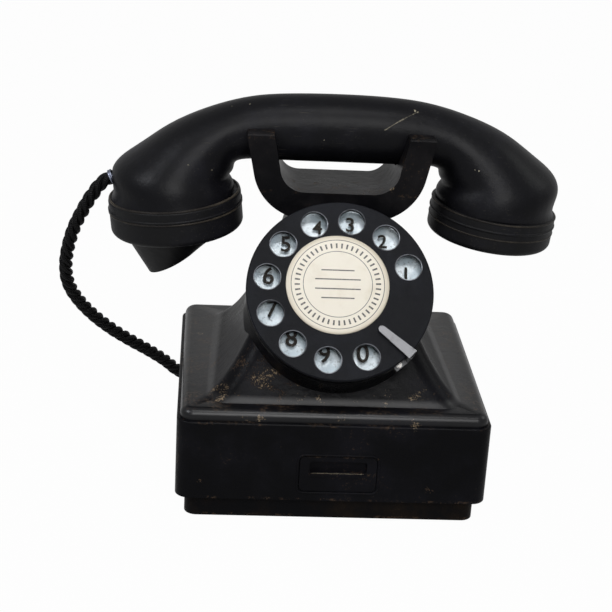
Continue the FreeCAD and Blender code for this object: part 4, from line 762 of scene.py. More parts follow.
HOUSING_PAINT = BlackEnamel(
    "housing_paint", "black_enamel", levels=(53.4, 59.2, 13.6), uprights=(75.6,), polished=(58.0, 5.0),
    brown_blots=(
        Blot((-57.6, -18.3, 62.1), 6.0), Blot((-54.7, -55.0, 62.9), 8.0), Blot((-43.5, -46.8, 75.3), 8.0),
        Blot((-37.7, -50.1, 72.8), 7.5), Blot((-32.7, -52.3, 69.7), 7.0), Blot((-24.9, -54.4, 66.7), 6.5),
        Blot((-30.0, -53.4, 72.4), 6.0),
        Blot((75.2, -66.0, 41.0), 2.2), Blot((75.4, -65.6, 30.0), 2.4), Blot((75.4, -65.4, 22.0), 2.2),
        Blot((46.5, -69.9, 20.3), 2.0), Blot((20.1, -69.9, 15.6), 1.6), Blot((-63.9, -69.9, 22.8), 1.4),
    ),
    gold_blots=(
        Blot((-65.6, 24.4, 58.4), 2.0), Blot((-17.2, -56.6, 63.7), 3.0), Blot((-8.4, -57.6, 62.3), 2.4),
        Blot((9.5, -56.7, 63.5), 2.4), Blot((25.0, -56.5, 63.8), 3.2), Blot((39.2, -56.8, 63.4), 3.4),
        Blot((-42.1, -68.3, 55.8), 2.4), Blot((-36.4, -68.3, 56.0), 2.2), Blot((4.7, -68.1, 56.6), 2.4),
        Blot((37.6, -68.3, 53.9), 2.8), Blot((-54.7, -55.0, 62.9), 4.5), Blot((-34.0, -51.6, 70.6), 5.0),
    ),
)
BASE_PAINT = BlackEnamel(
    "base_paint", "base_black", cloud_tone=(0.0170, 0.0115, 0.0075), levels=(12.4, 2.0), uprights=(71.0,),
    roughness=0.42,
)
# The bands at the drawer's top edge and at its lip are partly wear and partly a painted highlight along
# those edges.
DRAWER_PAINT = BlackEnamel("drawer_paint", "black_enamel", levels=(37.0, 27.4), roughness=0.42)
CRADLE_PAINT = BlackEnamel(
    "cradle_paint", "cradle_black", cloud_tone=(0.012, 0.011, 0.012), levels=(149.6, 178.4),
    # The first three brown specks and all the gold specks run along the right prong's inner edge: worn
    # paint and gold rub, and a painted highlight on that edge.
    brown_blots=(
        Blot((31.6, -5.0, 174.0), 3.2), Blot((30.6, -5.0, 166.0), 3.0), Blot((28.9, -4.4, 158.2), 2.8),
        Blot((0.0, 6.0, 149.3), 5.0), Blot((-11.0, 12.0, 149.0), 4.0), Blot((12.0, 16.0, 148.8), 4.5),
    ),
    gold_blots=(
        Blot((32.9, -5.8, 176.0), 1.4), Blot((31.0, -6.4, 167.0), 1.2), Blot((29.0, -6.4, 158.0), 1.4),
        Blot((25.0, -6.4, 152.6), 1.6),
    ),
)
WHEEL_PAINT = BlackEnamel(
    "wheel_paint", "dial_black", colour=(0.0085, 0.0090, 0.0110), cloud_tone=(0.014, 0.015, 0.019),
    roughness=0.34, speckle=0.0,
)
# Lighter half-metal paint for the finger holes' rims: a painted highlight on their bevels.
RIM_HIGHLIGHT = Metal(
    "rim_painted_highlight", "dial_black", colour=(0.20, 0.21, 0.23), tarnish=(0.010, 0.010, 0.012), roughness=0.30,
    tarnished=1.0, bare=0.5, grain=Grain.NONE,
)
# The beads' pale cloudy tone is a painted highlight: a cream line along the cap joints.
BEAD_HIGHLIGHT = Phenolic(
    "bead_painted_highlight", "handset_black", colour=(0.016, 0.014, 0.013), cloud_tone=(0.10, 0.085, 0.065),
)
CASE_PAINT = BlackEnamel("case_paint", "dial_black", cloud_tone=(0.05, 0.05, 0.048), roughness=0.44)
HANDSET_GLOSS = Phenolic(
    "handset_gloss", "handset_black",
    scratches=(
        Scratch((21.2, 2.4, 180.0), (28.5, 4.3, 184.4)),
        Scratch((28.5, 4.3, 184.4), (37.6, 8.2, 188.2), 0.45),
        Scratch((-74.5, -6.3, 161.1), (-62.8, -3.0, 158.0), 0.4),
        Scratch((-18.0, 3.5, 181.0), (-6.0, 3.0, 180.2), 0.25),
        Scratch((52.0, 3.0, 176.0), (60.0, 1.0, 171.0), 0.25),
        Scratch((-52.0, 3.0, 178.0), (-44.0, 3.2, 179.0), 0.22),
    ),
    specks=(
        Blot((36.1, 8.5, 188.6), 0.9), Blot((-54.0, 11.1, 186.8), 0.6), Blot((-45.2, 10.1, 188.4), 0.6),
        # The last two specks, on the right cup, are a painted glint: a pale highlight dot.
        Blot((-8.4, 2.2, 173.9), 0.5), Blot((68.4, -4.8, 163.1), 0.7), Blot((66.4, -4.2, 163.4), 0.5),
    ),
)
CAP_GLOSS = Phenolic("cap_gloss", "handset_black", colour=(0.009, 0.009, 0.0095), roughness=0.40)
STEEL = Metal("steel", "steel")
STOP_STEEL = Metal(
    "stop_steel", "steel", colour=(0.17, 0.172, 0.18), tarnish=(0.05, 0.05, 0.05), roughness=0.36,
    tarnished=0.6, bare=0.8, grain=Grain.ALONG_Y,
)
DARK_STEEL = Metal("dark_steel", "dark_steel", colour=(0.30, 0.29, 0.28), roughness=0.45)
IRON = Metal("iron", "iron", colour=(0.20, 0.19, 0.18), roughness=0.5, grain=Grain.NONE)
BRASS = Metal("brass", "brass", colour=(0.62, 0.43, 0.16), tarnish=(0.22, 0.13, 0.05), roughness=0.3)
GONG_BRASS = Metal(
    "gong_brass", "gong_brass", colour=(0.60, 0.43, 0.18), tarnish=(0.20, 0.12, 0.05), roughness=0.24,
)
TIN = Metal("capacitor_tin", "capacitor_tin", colour=(0.58, 0.58, 0.56), roughness=0.36)
CAPSULE_METAL = Metal("capsule_alloy", "capsule_alloy", colour=(0.66, 0.66, 0.64), roughness=0.3)
# A pale cream lip: worn paint, and a painted highlight where the ledge catches the light.
LIP_WEAR_AND_HIGHLIGHT = Metal(
    "lip_wear_and_highlight", "black_enamel", colour=(0.80, 0.69, 0.50), tarnish=(0.44, 0.34, 0.21), roughness=0.36,
    tarnished=0.3, bare=0.0,
)
COLLAR_METAL = Metal(
    "collar_tape", "ferrule_tape", colour=(0.24, 0.26, 0.33), tarnish=(0.05, 0.05, 0.07), roughness=0.34,
    grain=Grain.NONE,
)
FOOT_RUBBER = Rubber("foot_rubber", "foot_rubber")
BUSH_RUBBER = Rubber("bush_rubber", "bush_rubber", colour=(0.013, 0.013, 0.013))
INSULATOR = Moulding("insulator", "bakelite_brown")
COIL_COTTON = Winding("coil_cotton", "coil_green")
INDEX_CARD = Card("index_card", "index_card")
LABEL_PRINT = PrintedCard("label_print", "label_card")
PLATE_FACE = PlateEnamel("plate_face", "plate_enamel")
FIGURE_INK = FigureInk("figure_ink", "plate_enamel")
ROPE_COTTON = Cotton("rope_cotton", "rope_cotton")


# Mesh helpers

def mesh_object(name: str, verts: Sequence, faces: Sequence, finish: Finish) -> bpy.types.Object:
    """Makes a smooth mesh object at the origin.

    Args:
        name: the piece's name.
        verts: its points, in metres.
        faces: its faces, as lists of point numbers.
        finish: what it is dressed in.

    Returns:
        The object.
    """
    mesh = bpy.data.meshes.new(name)
    mesh.from_pydata([tuple(v) for v in verts], [], faces)
    mesh.shade_smooth()
    mesh.set_sharp_from_angle(angle=math.radians(CREASE_DEG))
    return linked(name, mesh, finish)


def shown(name: str, data: bpy.types.ID) -> bpy.types.Object:
    """Puts a new object in the scene.

    Args:
        name: the object's name.
        data: its mesh, curve, lamp or camera.

    Returns:
        The object.
    """
    made = bpy.data.objects.new(name, data)
    bpy.context.scene.collection.objects.link(made)
    return made


def plain_mesh(holder: bpy.types.Object) -> bpy.types.Mesh:
    """The mesh that an object's curve or modifiers come to."""
    bpy.context.view_layer.update()
    return bpy.data.meshes.new_from_object(holder.evaluated_get(bpy.context.evaluated_depsgraph_get()))


def linked(name: str, mesh: bpy.types.Mesh, finish: Finish) -> bpy.types.Object:
    """Puts a mesh in the scene, dressed in one finish.

    Args:
        name: the piece's name.
        mesh: its mesh.
        finish: what it is dressed in.

    Returns:
        The piece, with the finish's material.
    """
    mesh.materials.clear()
    mesh.materials.append(finish.dress())
    piece = shown(name, mesh)
    return piece


def settle(piece: bpy.types.Object, body: str, *nodes: str) -> bpy.types.Object:
    """Makes a piece ride on a body and stand for nodes.

    Args:
        piece: the finished piece.
        body: the body that carries it.
        nodes: the nodes it stands for, if any.

    Returns:
        The piece.
    """
    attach(piece, body)
    if nodes:
        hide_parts(*nodes)
    LOG.info("%s rides on %s", piece.name, body)
    return piece


def body_of_node(node: str) -> str:
    """The body that a node belongs to."""
    return frame["nodes"][node]["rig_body"]


def smoothed(node: str, finish: Finish, angle: float = 32.0) -> bpy.types.Object:
    """Replaces a node by a welded copy of its mesh whose curved faces shade smoothly.

    Args:
        node: the node's name.
        finish: what the copy is dressed in.
        angle: faces that meet at more than this many degrees keep their edge.

    Returns:
        The copy.
    """
    mesh = frame["nodes"][node].data.copy()
    work = bmesh.new()
    work.from_mesh(mesh)
    bmesh.ops.remove_doubles(work, verts=work.verts, dist=WELD_MM * MM)
    work.to_mesh(mesh)
    work.free()
    mesh.name = node + "_skin"
    normals = mesh.attributes.get("custom_normal")
    if normals is not None:
        mesh.attributes.remove(normals)
    mesh.shade_smooth()
    mesh.set_sharp_from_angle(angle=math.radians(angle))
    return settle(linked(node + "_skin", mesh, finish), body_of_node(node), node)


def dress_nodes(finish: Finish, *nodes: str) -> None:
    """Gives a finish to nodes that stay as they are.

    Args:
        finish: what they are dressed in.
        nodes: their names.
    """
    for node in nodes:
        materials = frame["nodes"][node].data.materials
        materials.clear()
        materials.append(finish.dress())


def frames_along(points: Sequence[Vector]) -> list[tuple[Vector, Vector, Vector]]:
    """Unturned cross directions at each point of a path.

    Args:
        points: the path's points.

    Returns:
        For each point the direction, and two directions across it.
    """
    result = []
    across = None
    for index in range(len(points)):
        before = points[max(index - 1, 0)]
        after = points[min(index + 1, len(points) - 1)]
        ahead = (after - before).normalized()
        if across is None:
            across = ahead.orthogonal().normalized()
        across = (across - ahead * across.dot(ahead)).normalized()
        result.append((ahead, across, ahead.cross(across)))
    return result


def tube_rings(centres: Sequence[Vector], radius: float, sides: int, closed: bool) -> tuple[list, list]:
    """Points and faces of a round tube along a path.

    Args:
        centres: the path's points.
        radius: the tube's radius.
        sides: corners of its section.
        closed: whether the path is a loop; otherwise the ends are capped.

    Returns:
        The points and the faces.
    """
    verts = []
    faces = []
    for (_, side, up), centre in zip(frames_along(centres), centres):
        for corner in range(sides):
            angle = 2.0 * math.pi * corner / sides
            verts.append(centre + side * (radius * math.cos(angle)) + up * (radius * math.sin(angle)))
    rows = len(centres)
    for row in range(rows if closed else rows - 1):
        for corner in range(sides):
            a = row * sides + corner
            b = row * sides + (corner + 1) % sides
            shift = ((row + 1) % rows - row) * sides
            faces.append((a, b, b + shift, a + shift))
    if not closed:
        faces.append(tuple(reversed(range(sides))))
        faces.append(tuple(range((rows - 1) * sides, rows * sides)))
    return verts, faces


def append_part(verts: list, faces: list, more: Sequence, quads: Sequence) -> None:
    """Adds one part's points and faces to a larger mesh.

    Args:
        verts: the larger mesh's points.
        faces: its faces.
        more: the part's points.
        quads: the part's faces, which count from its own first point.
    """
    base = len(verts)
    verts.extend(more)
    faces.extend(tuple(index + base for index in quad) for quad in quads)


# Rows of rings made with Geometry Nodes

RING_AROUND = 120
RING_SIDES = 10


@dataclass
class RingRow:
    """Equal rings in a row along Z, such as the ridges round a cap."""

    name: str
    radius: float
    wire: float
    count: int
    step: float
    finish: Finish

    def tree(self) -> bpy.types.NodeTree:
        """Builds the node tree with named inputs.

        Returns:
            The tree, which ends in Realize Instances and Set Material.
        """
        known = bpy.data.node_groups.get("ring_row")
        if known:
            return known
        tree = bpy.data.node_groups.new("ring_row", "GeometryNodeTree")
        face = tree.interface
        face.new_socket("Geometry", in_out="INPUT", socket_type="NodeSocketGeometry")
        for label, kind in (("Radius", "Float"), ("Wire", "Float"), ("Count", "Int"), ("Step", "Float")):
            face.new_socket(label, in_out="INPUT", socket_type="NodeSocket" + kind)
        face.new_socket("Coat", in_out="INPUT", socket_type="NodeSocketMaterial")
        face.new_socket("Geometry", in_out="OUTPUT", socket_type="NodeSocketGeometry")
        nodes = {}
        for label, kind in (
            ("given", "NodeGroupInput"), ("offset", "ShaderNodeCombineXYZ"),
            ("line", "GeometryNodeMeshLine"),
            ("loop", "GeometryNodeCurvePrimitiveCircle"), ("section", "GeometryNodeCurvePrimitiveCircle"),
            ("sweep", "GeometryNodeCurveToMesh"), ("spread", "GeometryNodeInstanceOnPoints"),
            ("real", "GeometryNodeRealizeInstances"), ("smooth", "GeometryNodeSetShadeSmooth"),
            ("coat", "GeometryNodeSetMaterial"), ("out", "NodeGroupOutput"),
        ):
            nodes[label] = tree.nodes.new(kind)
        nodes["loop"].inputs["Resolution"].default_value = RING_AROUND
        nodes["section"].inputs["Resolution"].default_value = RING_SIDES
        for source, out, target, into in (
            ("given", "Radius", "loop", "Radius"), ("given", "Wire", "section", "Radius"),
            ("given", "Count", "line", "Count"), ("given", "Step", "offset", "Z"),
            ("offset", "Vector", "line", "Offset"), ("loop", "Curve", "sweep", "Curve"),
            ("section", "Curve", "sweep", "Profile Curve"), ("line", "Mesh", "spread", "Points"),
            ("sweep", "Mesh", "spread", "Instance"), ("spread", "Instances", "real", "Geometry"),
            ("real", "Geometry", "smooth", "Geometry"), ("smooth", "Geometry", "coat", "Geometry"),
            ("given", "Coat", "coat", "Material"), ("coat", "Geometry", "out", "Geometry"),
        ):
            tree.links.new(nodes[source].outputs[out], nodes[target].inputs[into])
        return tree

    def build(self, place: Matrix) -> bpy.types.Object:
        """Makes the rings as a plain mesh.

        Args:
            place: where the row's first ring and its axis go.

        Returns:
            The finished object at the origin.
        """
        seed = shown(self.name + "_seed", bpy.data.meshes.new(self.name + "_seed"))
        modifier = seed.modifiers.new("rings", "NODES")
        modifier.node_group = self.tree()
        values = {
            "Radius": self.radius * MM, "Wire": self.wire * MM, "Count": self.count,
            "Step": self.step * MM, "Coat": self.finish.dress(),
        }
        for item in modifier.node_group.interface.items_tree:
            if item.in_out == "INPUT" and item.name in values:
                modifier[item.identifier] = values[item.name]
        mesh = plain_mesh(seed)
        seed.modifiers.remove(modifier)
        bpy.data.objects.remove(seed)
        mesh.transform(place)
        mesh.name = self.name
        return linked(self.name, mesh, self.finish)


# The rope

@dataclass
class Rope:
    """The twisted rope from the handset down to its coil and up to the rear of the housing."""

    radius: float = 3.6
    strand: float = 1.74
    lay: float = 1.86
    pitch: float = 17.4
    strands: int = 3
    sides: int = 12
    gap: float = 0.7
    leaving: tuple[Point, ...] = ((-112.4, 17.0, 146.6), (-117.2, 17.0, 144.0))
    route: tuple[Point, ...] = (
        (-120.0, 17.0, 140.2), (-124.3, 17.0, 133.75), (-128.3, 18.4, 125.6), (-131.6, 20.2, 118.6),
        (-135.1, 23.4, 106.6), (-137.0, 27.8, 94.5), (-136.4, 33.4, 82.0), (-131.6, 40.2, 70.1),
        (-124.0, 47.6, 58.3), (-114.4, 55.9, 46.8), (-103.4, 63.6, 36.6), (-92.9, 71.2, 27.3),
        (-84.6, 77.4, 19.0), (-78.2, 82.9, 10.6), (-70.9, 88.6, 5.4), (-62.6, 92.6, 4.0),
        (-54.4, 94.8, 3.8), (-46.1, 95.08, 3.75), (-37.7, 93.9, 3.75),
    )
    coil_centre: tuple[float, float] = (-4.0, 133.0)
    coil_outer: float = 43.4
    coil_pitch: float = 7.3
    coil_base: float = 3.75
    coil_start_deg: float = 262.0
    coil_end_deg: float = 1288.7
    coil_steps: int = 20
    to_gland: tuple[Point, ...] = ((-28.9, 88.1, 17.0), (-25.33, 81.6, 18.6), (-24.5, 73.0, 20.0))
    hold_until: Point = (-136.0, 30.0, 88.0)

    def coil_points(self) -> list[Point]:
        """The coil's turns: inwards on the table, then outwards on top of them.

        Returns:
            Points of the coil, in millimetres.
        """
        sweep = self.coil_end_deg - self.coil_start_deg
        count = round(sweep / 360.0 * self.coil_steps)
        points = []
        for step in range(count + 1):
            share = step / count
            angle = math.radians(self.coil_start_deg + sweep * share)
            reach = self.coil_outer - self.coil_pitch * sweep / 360.0 * min(share, 1.0 - share)
            climb = min(max((sweep * (share - 0.5) + 90.0) / 180.0, 0.0), 1.0)
            x = self.coil_centre[0] + reach * math.cos(angle)
            y = self.coil_centre[1] + reach * math.sin(angle)
            points.append((x, y, self.coil_base + self.coil_pitch * climb))
        return points

    def centre_line(self) -> list[Vector]:
        """The rope's centre line, read from a NURBS spline on the route's points.

        Returns:
            Points along the rope, evenly spaced.
        """
        curve = bpy.data.curves.new("rope_line", "CURVE")
        curve.dimensions = "3D"
        curve.resolution_u = 14
        spline = curve.splines.new("NURBS")
        points = [*self.leaving, *self.route, *self.coil_points(), *self.to_gland]
        spline.points.add(len(points) - 1)
        for control, point in zip(spline.points, points):
            control.co = (point[0] * MM, point[1] * MM, point[2] * MM, 1.0)
        spline.order_u = 3
        spline.use_endpoint_u = True
        holder = shown("rope_line", curve)
        raw = [vertex.co.copy() for vertex in plain_mesh(holder).vertices]
        bpy.data.objects.remove(holder)
        return evenly(raw, self.gap * MM)

    def build(self) -> None:
        line = self.centre_line()
        travelled = [0.0]
        for before, after in zip(line, line[1:]):
            travelled.append(travelled[-1] + (after - before).length)
        verts = []
        faces = []
        marks = []
        for strand in range(self.strands):
            centres = []
            for (_, side, up), centre, run in zip(frames_along(line), line, travelled):
                angle = 2.0 * math.pi * (strand / self.strands - run / (self.pitch * MM))
                centres.append(centre + (side * math.cos(angle) + up * math.sin(angle)) * (self.lay * MM))
            ring, quads = tube_rings(centres, self.strand * MM, self.sides, False)
            append_part(verts, faces, ring, quads)
            marks.extend(self.strand_marks(travelled, len(quads)))
        piece = mesh_object("handset_rope_strands", verts, faces, ROPE_COTTON)
        self.unwrap(piece.data, marks)
        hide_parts("handset_rope", "rope_coil", "cord_ferrule")
        2.0 * self.radius * MM
        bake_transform(piece)
        LOG.info("rope of %.4f m with %d strands", travelled[-1], self.strands)

    def strand_marks(self, travelled: list[float], faces: int) -> list[list[tuple[float, float]]]:
        """UV coordinates of one strand's faces.

        Args:
            travelled: the run up to each ring, in metres.
            faces: how many faces the strand has, with its two ends.

        Returns:
            One list of corners for each face.
        """
        marks = []
        for row in range(len(travelled) - 1):
            for side in range(self.sides):
                low = side / self.sides
                high = (side + 1) / self.sides
                marks.append([(travelled[row], low), (travelled[row], high),
                              (travelled[row + 1], high), (travelled[row + 1], low)])
        while len(marks) < faces:
            marks.append([(0.0, 0.0)] * self.sides)
        return marks

    def unwrap(self, mesh: bpy.types.Mesh, marks: list[list[tuple[float, float]]]) -> None:
        """Writes the UV map.

        Args:
            mesh: the strands' mesh.
            marks: UV corners for each face.
        """
        layer = mesh.uv_layers.new(name="UVMap")
        for polygon, corners in zip(mesh.polygons, marks):
            for loop, corner in zip(polygon.loop_indices, corners):
                layer.data[loop].uv = corner


def evenly(points: Sequence[Vector], gap: float) -> list[Vector]:
    """Points a fixed gap apart on a line.

    Args:
        points: the line's own points.
        gap: distance between the new points.

    Returns:
        The new points, with the line's last one.
    """
    result = [points[0]]
    spare = 0.0
    for before, after in zip(points, points[1:]):
        length = (after - before).length
        run = gap - spare
        while run < length:
            result.append(before.lerp(after, run / length))
            run += gap
        spare = length - (run - gap)
    result.append(points[-1])
    return result


@dataclass
class CordExit:
    """The bright binding where the rope leaves the handset's cup."""

    centre: Point = (-112.2, 17.0, 146.7)
    direction: Point = (-11.3, 0.0, -6.0)
    radius: float = 3.3
    wire: float = 0.55
    turns: int = 2
    step: float = 0.95
    finish: Finish = COLLAR_METAL

    def build(self) -> None:
        """Makes the turns of binding round the rope."""
        axis = Vector(self.direction).normalized()
        turn = axis.to_track_quat("Z", "Y").to_matrix().to_4x4()
        place = Matrix.Translation(Vector(self.centre) * MM) @ turn
        rings = RingRow("cord_binding", self.radius, self.wire, self.turns, self.step, self.finish)
        settle(rings.build(place), "handset")


# The handset

@dataclass
class Handset:
    """Handle, cups and caps, with the ridges that run round the caps."""

    mouth_cap: Point = (-81.2, 17.0, 139.2)
    ear_cap: Point = (81.6, 17.0, 139.2)
    mouth_tilt: float = -6.5
    ear_tilt: float = 6.0
    mouth_ridges: tuple[tuple[float, float, float], ...] = ((32.6, 0.2, 0.65), (33.4, -6.2, 0.55))
    ear_ridges: tuple[float, float, int, float] = (31.75, 0.45, 3, 4.1)
    ear_drop: float = -0.6

    def cap_frame(self, joint: Point, tilt: float, drop: float) -> Matrix:
        """The place of a ridge under a cap's joint.

        Args:
            joint: the middle of the joint between cup and cap, in millimetres.
            tilt: the cap's lean in degrees.
            drop: how far along the cap's axis, negative downwards.

        Returns:
            The matrix that carries the ridge there.
        """
        turn = Matrix.Rotation(math.radians(tilt), 4, "Y")
        return Matrix.Translation(Vector(joint) * MM) @ turn @ Matrix.Translation((0.0, 0.0, drop * MM))

    def build(self) -> None:
        """Dresses the shell and caps and adds the ridges."""
        smoothed("handset_shell", HANDSET_GLOSS, 40.0)
        smoothed("mouth_cap", CAP_GLOSS)
        smoothed("ear_cap", CAP_GLOSS)
        dress_nodes(CAPSULE_METAL, "receiver_capsule", "transmitter_capsule")
        # The ridges wear the bead colour, a painted highlight along the cap joints.
        for number, (radius, drop, wire) in enumerate(self.mouth_ridges):
            rings = RingRow("mouth_ridge_%d" % number, radius, wire, 1, 1.0, BEAD_HIGHLIGHT)
            settle(rings.build(self.cap_frame(self.mouth_cap, self.mouth_tilt, drop)), "handset")
        radius, wire, count, step = self.ear_ridges
        rings = RingRow("ear_ridges", radius, wire, count, -step, BEAD_HIGHLIGHT)
        settle(rings.build(self.cap_frame(self.ear_cap, self.ear_tilt, self.ear_drop)), "handset")


@dataclass
class Cradle:
    """Fork, stem, bush and hook contacts."""

    fork: Finish = CRADLE_PAINT

    def build(self) -> None:
        """Dresses the fork and the parts under it."""
        smoothed("cradle_fork", self.fork, 38.0)
        smoothed("cradle_stem", STEEL)
        dress_nodes(BRASS, "stem_bush", "hook_blades")
        dress_nodes(STEEL, "cradle_spring", "bracket_screws")
        dress_nodes(DARK_STEEL, "hook_bracket")
        dress_nodes(INSULATOR, "hook_blocks")


# The dial

@dataclass
class Dial:
    """Finger wheel, number plate, centre label, finger stop and the works behind them."""

    centre: Point = (0.0, -45.2, 113.7)
    rise_deg: float = 40.3
    label_centre: tuple[float, float] = (-1.2, 2.6)
    label_radius: float = 24.9
    label_top: float = 1.05
    label_around: int = 96
    dome: tuple[tuple[float, float], ...] = (
        (0.35, 1.0), (0.65, 0.98), (0.86, 0.92), (0.95, 0.80), (0.985, 0.60), (1.0, 0.30), (1.0, 0.0),
    )
    plate_face: float = -4.9
    figure_lift: float = 0.06
    figure_depth: float = 0.05
    figure_weight: float = 0.15
    figures: tuple[tuple[str, float, float, float], ...] = (
        ("1", 34.0, 18.0, 9.6), ("2", 34.0, 52.0, 9.6), ("3", 35.3, 81.5, 10.2),
        ("4", 34.6, 108.0, 9.6), ("5", 35.3, 137.5, 11.4), ("6", 35.0, 168.0, 11.8),
        ("7", 33.6, -164.0, 11.8), ("8", 32.8, -134.0, 12.0), ("9", 32.0, -102.5, 12.0),
        ("0", 32.4, -69.5, 12.4),
    )
    holes: int = 10
    hole_radius: float = 6.4
    hole_circle: float = 35.4
    first_hole_deg: float = 20.9
    hole_step_deg: float = 30.0
    rim_gap: float = 0.12
    rim_wire: float = 0.24
    rim_around: int = 48
    rim_sides: int = 8

    def place(self) -> Matrix:
        """The dial's own frame.

        Returns:
            A matrix with X across, Y up the dial's face and Z out of it.
        """
        rise = math.radians(self.rise_deg)
        out = Vector((0.0, -math.cos(rise), math.sin(rise)))
        up = Vector((0.0, math.sin(rise), math.cos(rise)))
        across = Vector((1.0, 0.0, 0.0))
        turn = Matrix((across, up, out)).transposed().to_4x4()
        return Matrix.Translation(Vector(self.centre) * MM) @ turn

    def label(self) -> bpy.types.Object:
        """Makes the domed centre label with its UV map in metres.

        Returns:
            The label, riding on the wheel.
        """
        work = bmesh.new()
        layer = work.loops.layers.uv.new("UVMap")
        rows = []
        for share, lift in self.dome:
            reach = self.label_radius * share * MM
            height = self.label_top * lift * MM
            row = []
            for step in range(self.label_around):
                angle = 2.0 * math.pi * step / self.label_around
                row.append(work.verts.new((reach * math.cos(angle), reach * math.sin(angle), height)))
            rows.append(row)
        crown = work.verts.new((0.0, 0.0, self.label_top * MM))
        faces = []
        for step in range(self.label_around):
            after = (step + 1) % self.label_around
            faces.append(work.faces.new((crown, rows[0][step], rows[0][after])))
            for inner, outer in zip(rows, rows[1:]):
                faces.append(work.faces.new((inner[step], outer[step], outer[after], inner[after])))
        faces.append(work.faces.new(list(reversed(rows[-1]))))
        for face in faces:
            for loop in face.loops:
                loop[layer].uv = (loop.vert.co.x, loop.vert.co.y)
        shift = Matrix.Translation((self.label_centre[0] * MM, self.label_centre[1] * MM, 0.0))
        mesh = bpy.data.meshes.new("centre_label")
        work.to_mesh(mesh)
        work.free()
        mesh.transform(self.place() @ shift)
        mesh.shade_smooth()
        return settle(linked("centre_label", mesh, LABEL_PRINT), "dial_wheel", "dial_label")

    def hole_rim_highlights(self) -> bpy.types.Object:
        """Makes a thin lighter ring on the bevel round each finger hole, a painted highlight.

        Returns:
            One piece with all the rings, riding on the wheel.
        """
        verts = []
        faces = []
        reach = self.hole_radius + self.rim_gap
        for hole in range(self.holes):
            angle = math.radians(self.first_hole_deg + self.hole_step_deg * hole)
            middle = Vector((math.cos(angle), math.sin(angle), 0.0)) * self.hole_circle
            loop = []
            for step in range(self.rim_around):
                turn = 2.0 * math.pi * step / self.rim_around
                loop.append((middle + Vector((math.cos(turn), math.sin(turn), 0.0)) * reach) * MM)
            ring, quads = tube_rings(loop, self.rim_wire * MM, self.rim_sides, True)
            append_part(verts, faces, [self.place() @ point for point in ring], quads)
        return settle(mesh_object("hole_rim_highlights", verts, faces, RIM_HIGHLIGHT), "dial_wheel")

    def figure_mesh(self, text: str, size: float) -> bpy.types.Mesh:
        """One figure as a thin raised mesh, centred.

        Args:
            text: the figure.
            size: its size in millimetres.

        Returns:
            The mesh.
        """
        curve = bpy.data.curves.new("figure_" + text, "FONT")
        curve.body = text
        curve.size = size * MM
        curve.align_x = "CENTER"
        curve.align_y = "CENTER"
        curve.extrude = self.figure_depth * MM
        curve.offset = self.figure_weight * MM
        holder = shown("figure_" + text, curve)
        mesh = plain_mesh(holder)
        bpy.data.objects.remove(holder)
        return mesh

    def number_figures(self) -> bpy.types.Object:
        """Sets the ten plain figures on the plate.

        Returns:
            One piece with all the figures.
        """
        work = bmesh.new()
        for text, reach, degrees, size in self.figures:
            mesh = self.figure_mesh(text, size)
            angle = math.radians(degrees)
            height = self.plate_face + self.figure_lift
            spot = Vector((reach * math.cos(angle), reach * math.sin(angle), height)) * MM
            mesh.transform(self.place() @ Matrix.Translation(spot))
            work.from_mesh(mesh)
        joined = bpy.data.meshes.new("dial_figures")
        work.to_mesh(joined)
        work.free()
        return settle(linked("dial_figures", joined, FIGURE_INK), "telephone")

    def build(self) -> None:
        """Dresses and builds the whole dial."""
        smoothed("finger_wheel", WHEEL_PAINT)
        smoothed("dial_case", CASE_PAINT)
        smoothed("number_plate", PLATE_FACE)
        smoothed("finger_stop", STOP_STEEL)
        self.label()
        self.number_figures()
        self.hole_rim_highlights()
        dress_nodes(STEEL, "wheel_screw", "dial_screws", "main_shaft", "pulse_shaft", "governor_shaft")
        dress_nodes(BRASS, "dial_frame", "dial_bridge", "bridge_pillars", "main_gear", "pulse_gear")
        dress_nodes(BRASS, "pulse_blades", "governor_weights", "governor_cup")
        dress_nodes(DARK_STEEL, "dial_spring")
        dress_nodes(INSULATOR, "pulse_cam", "blade_blocks")


# The body

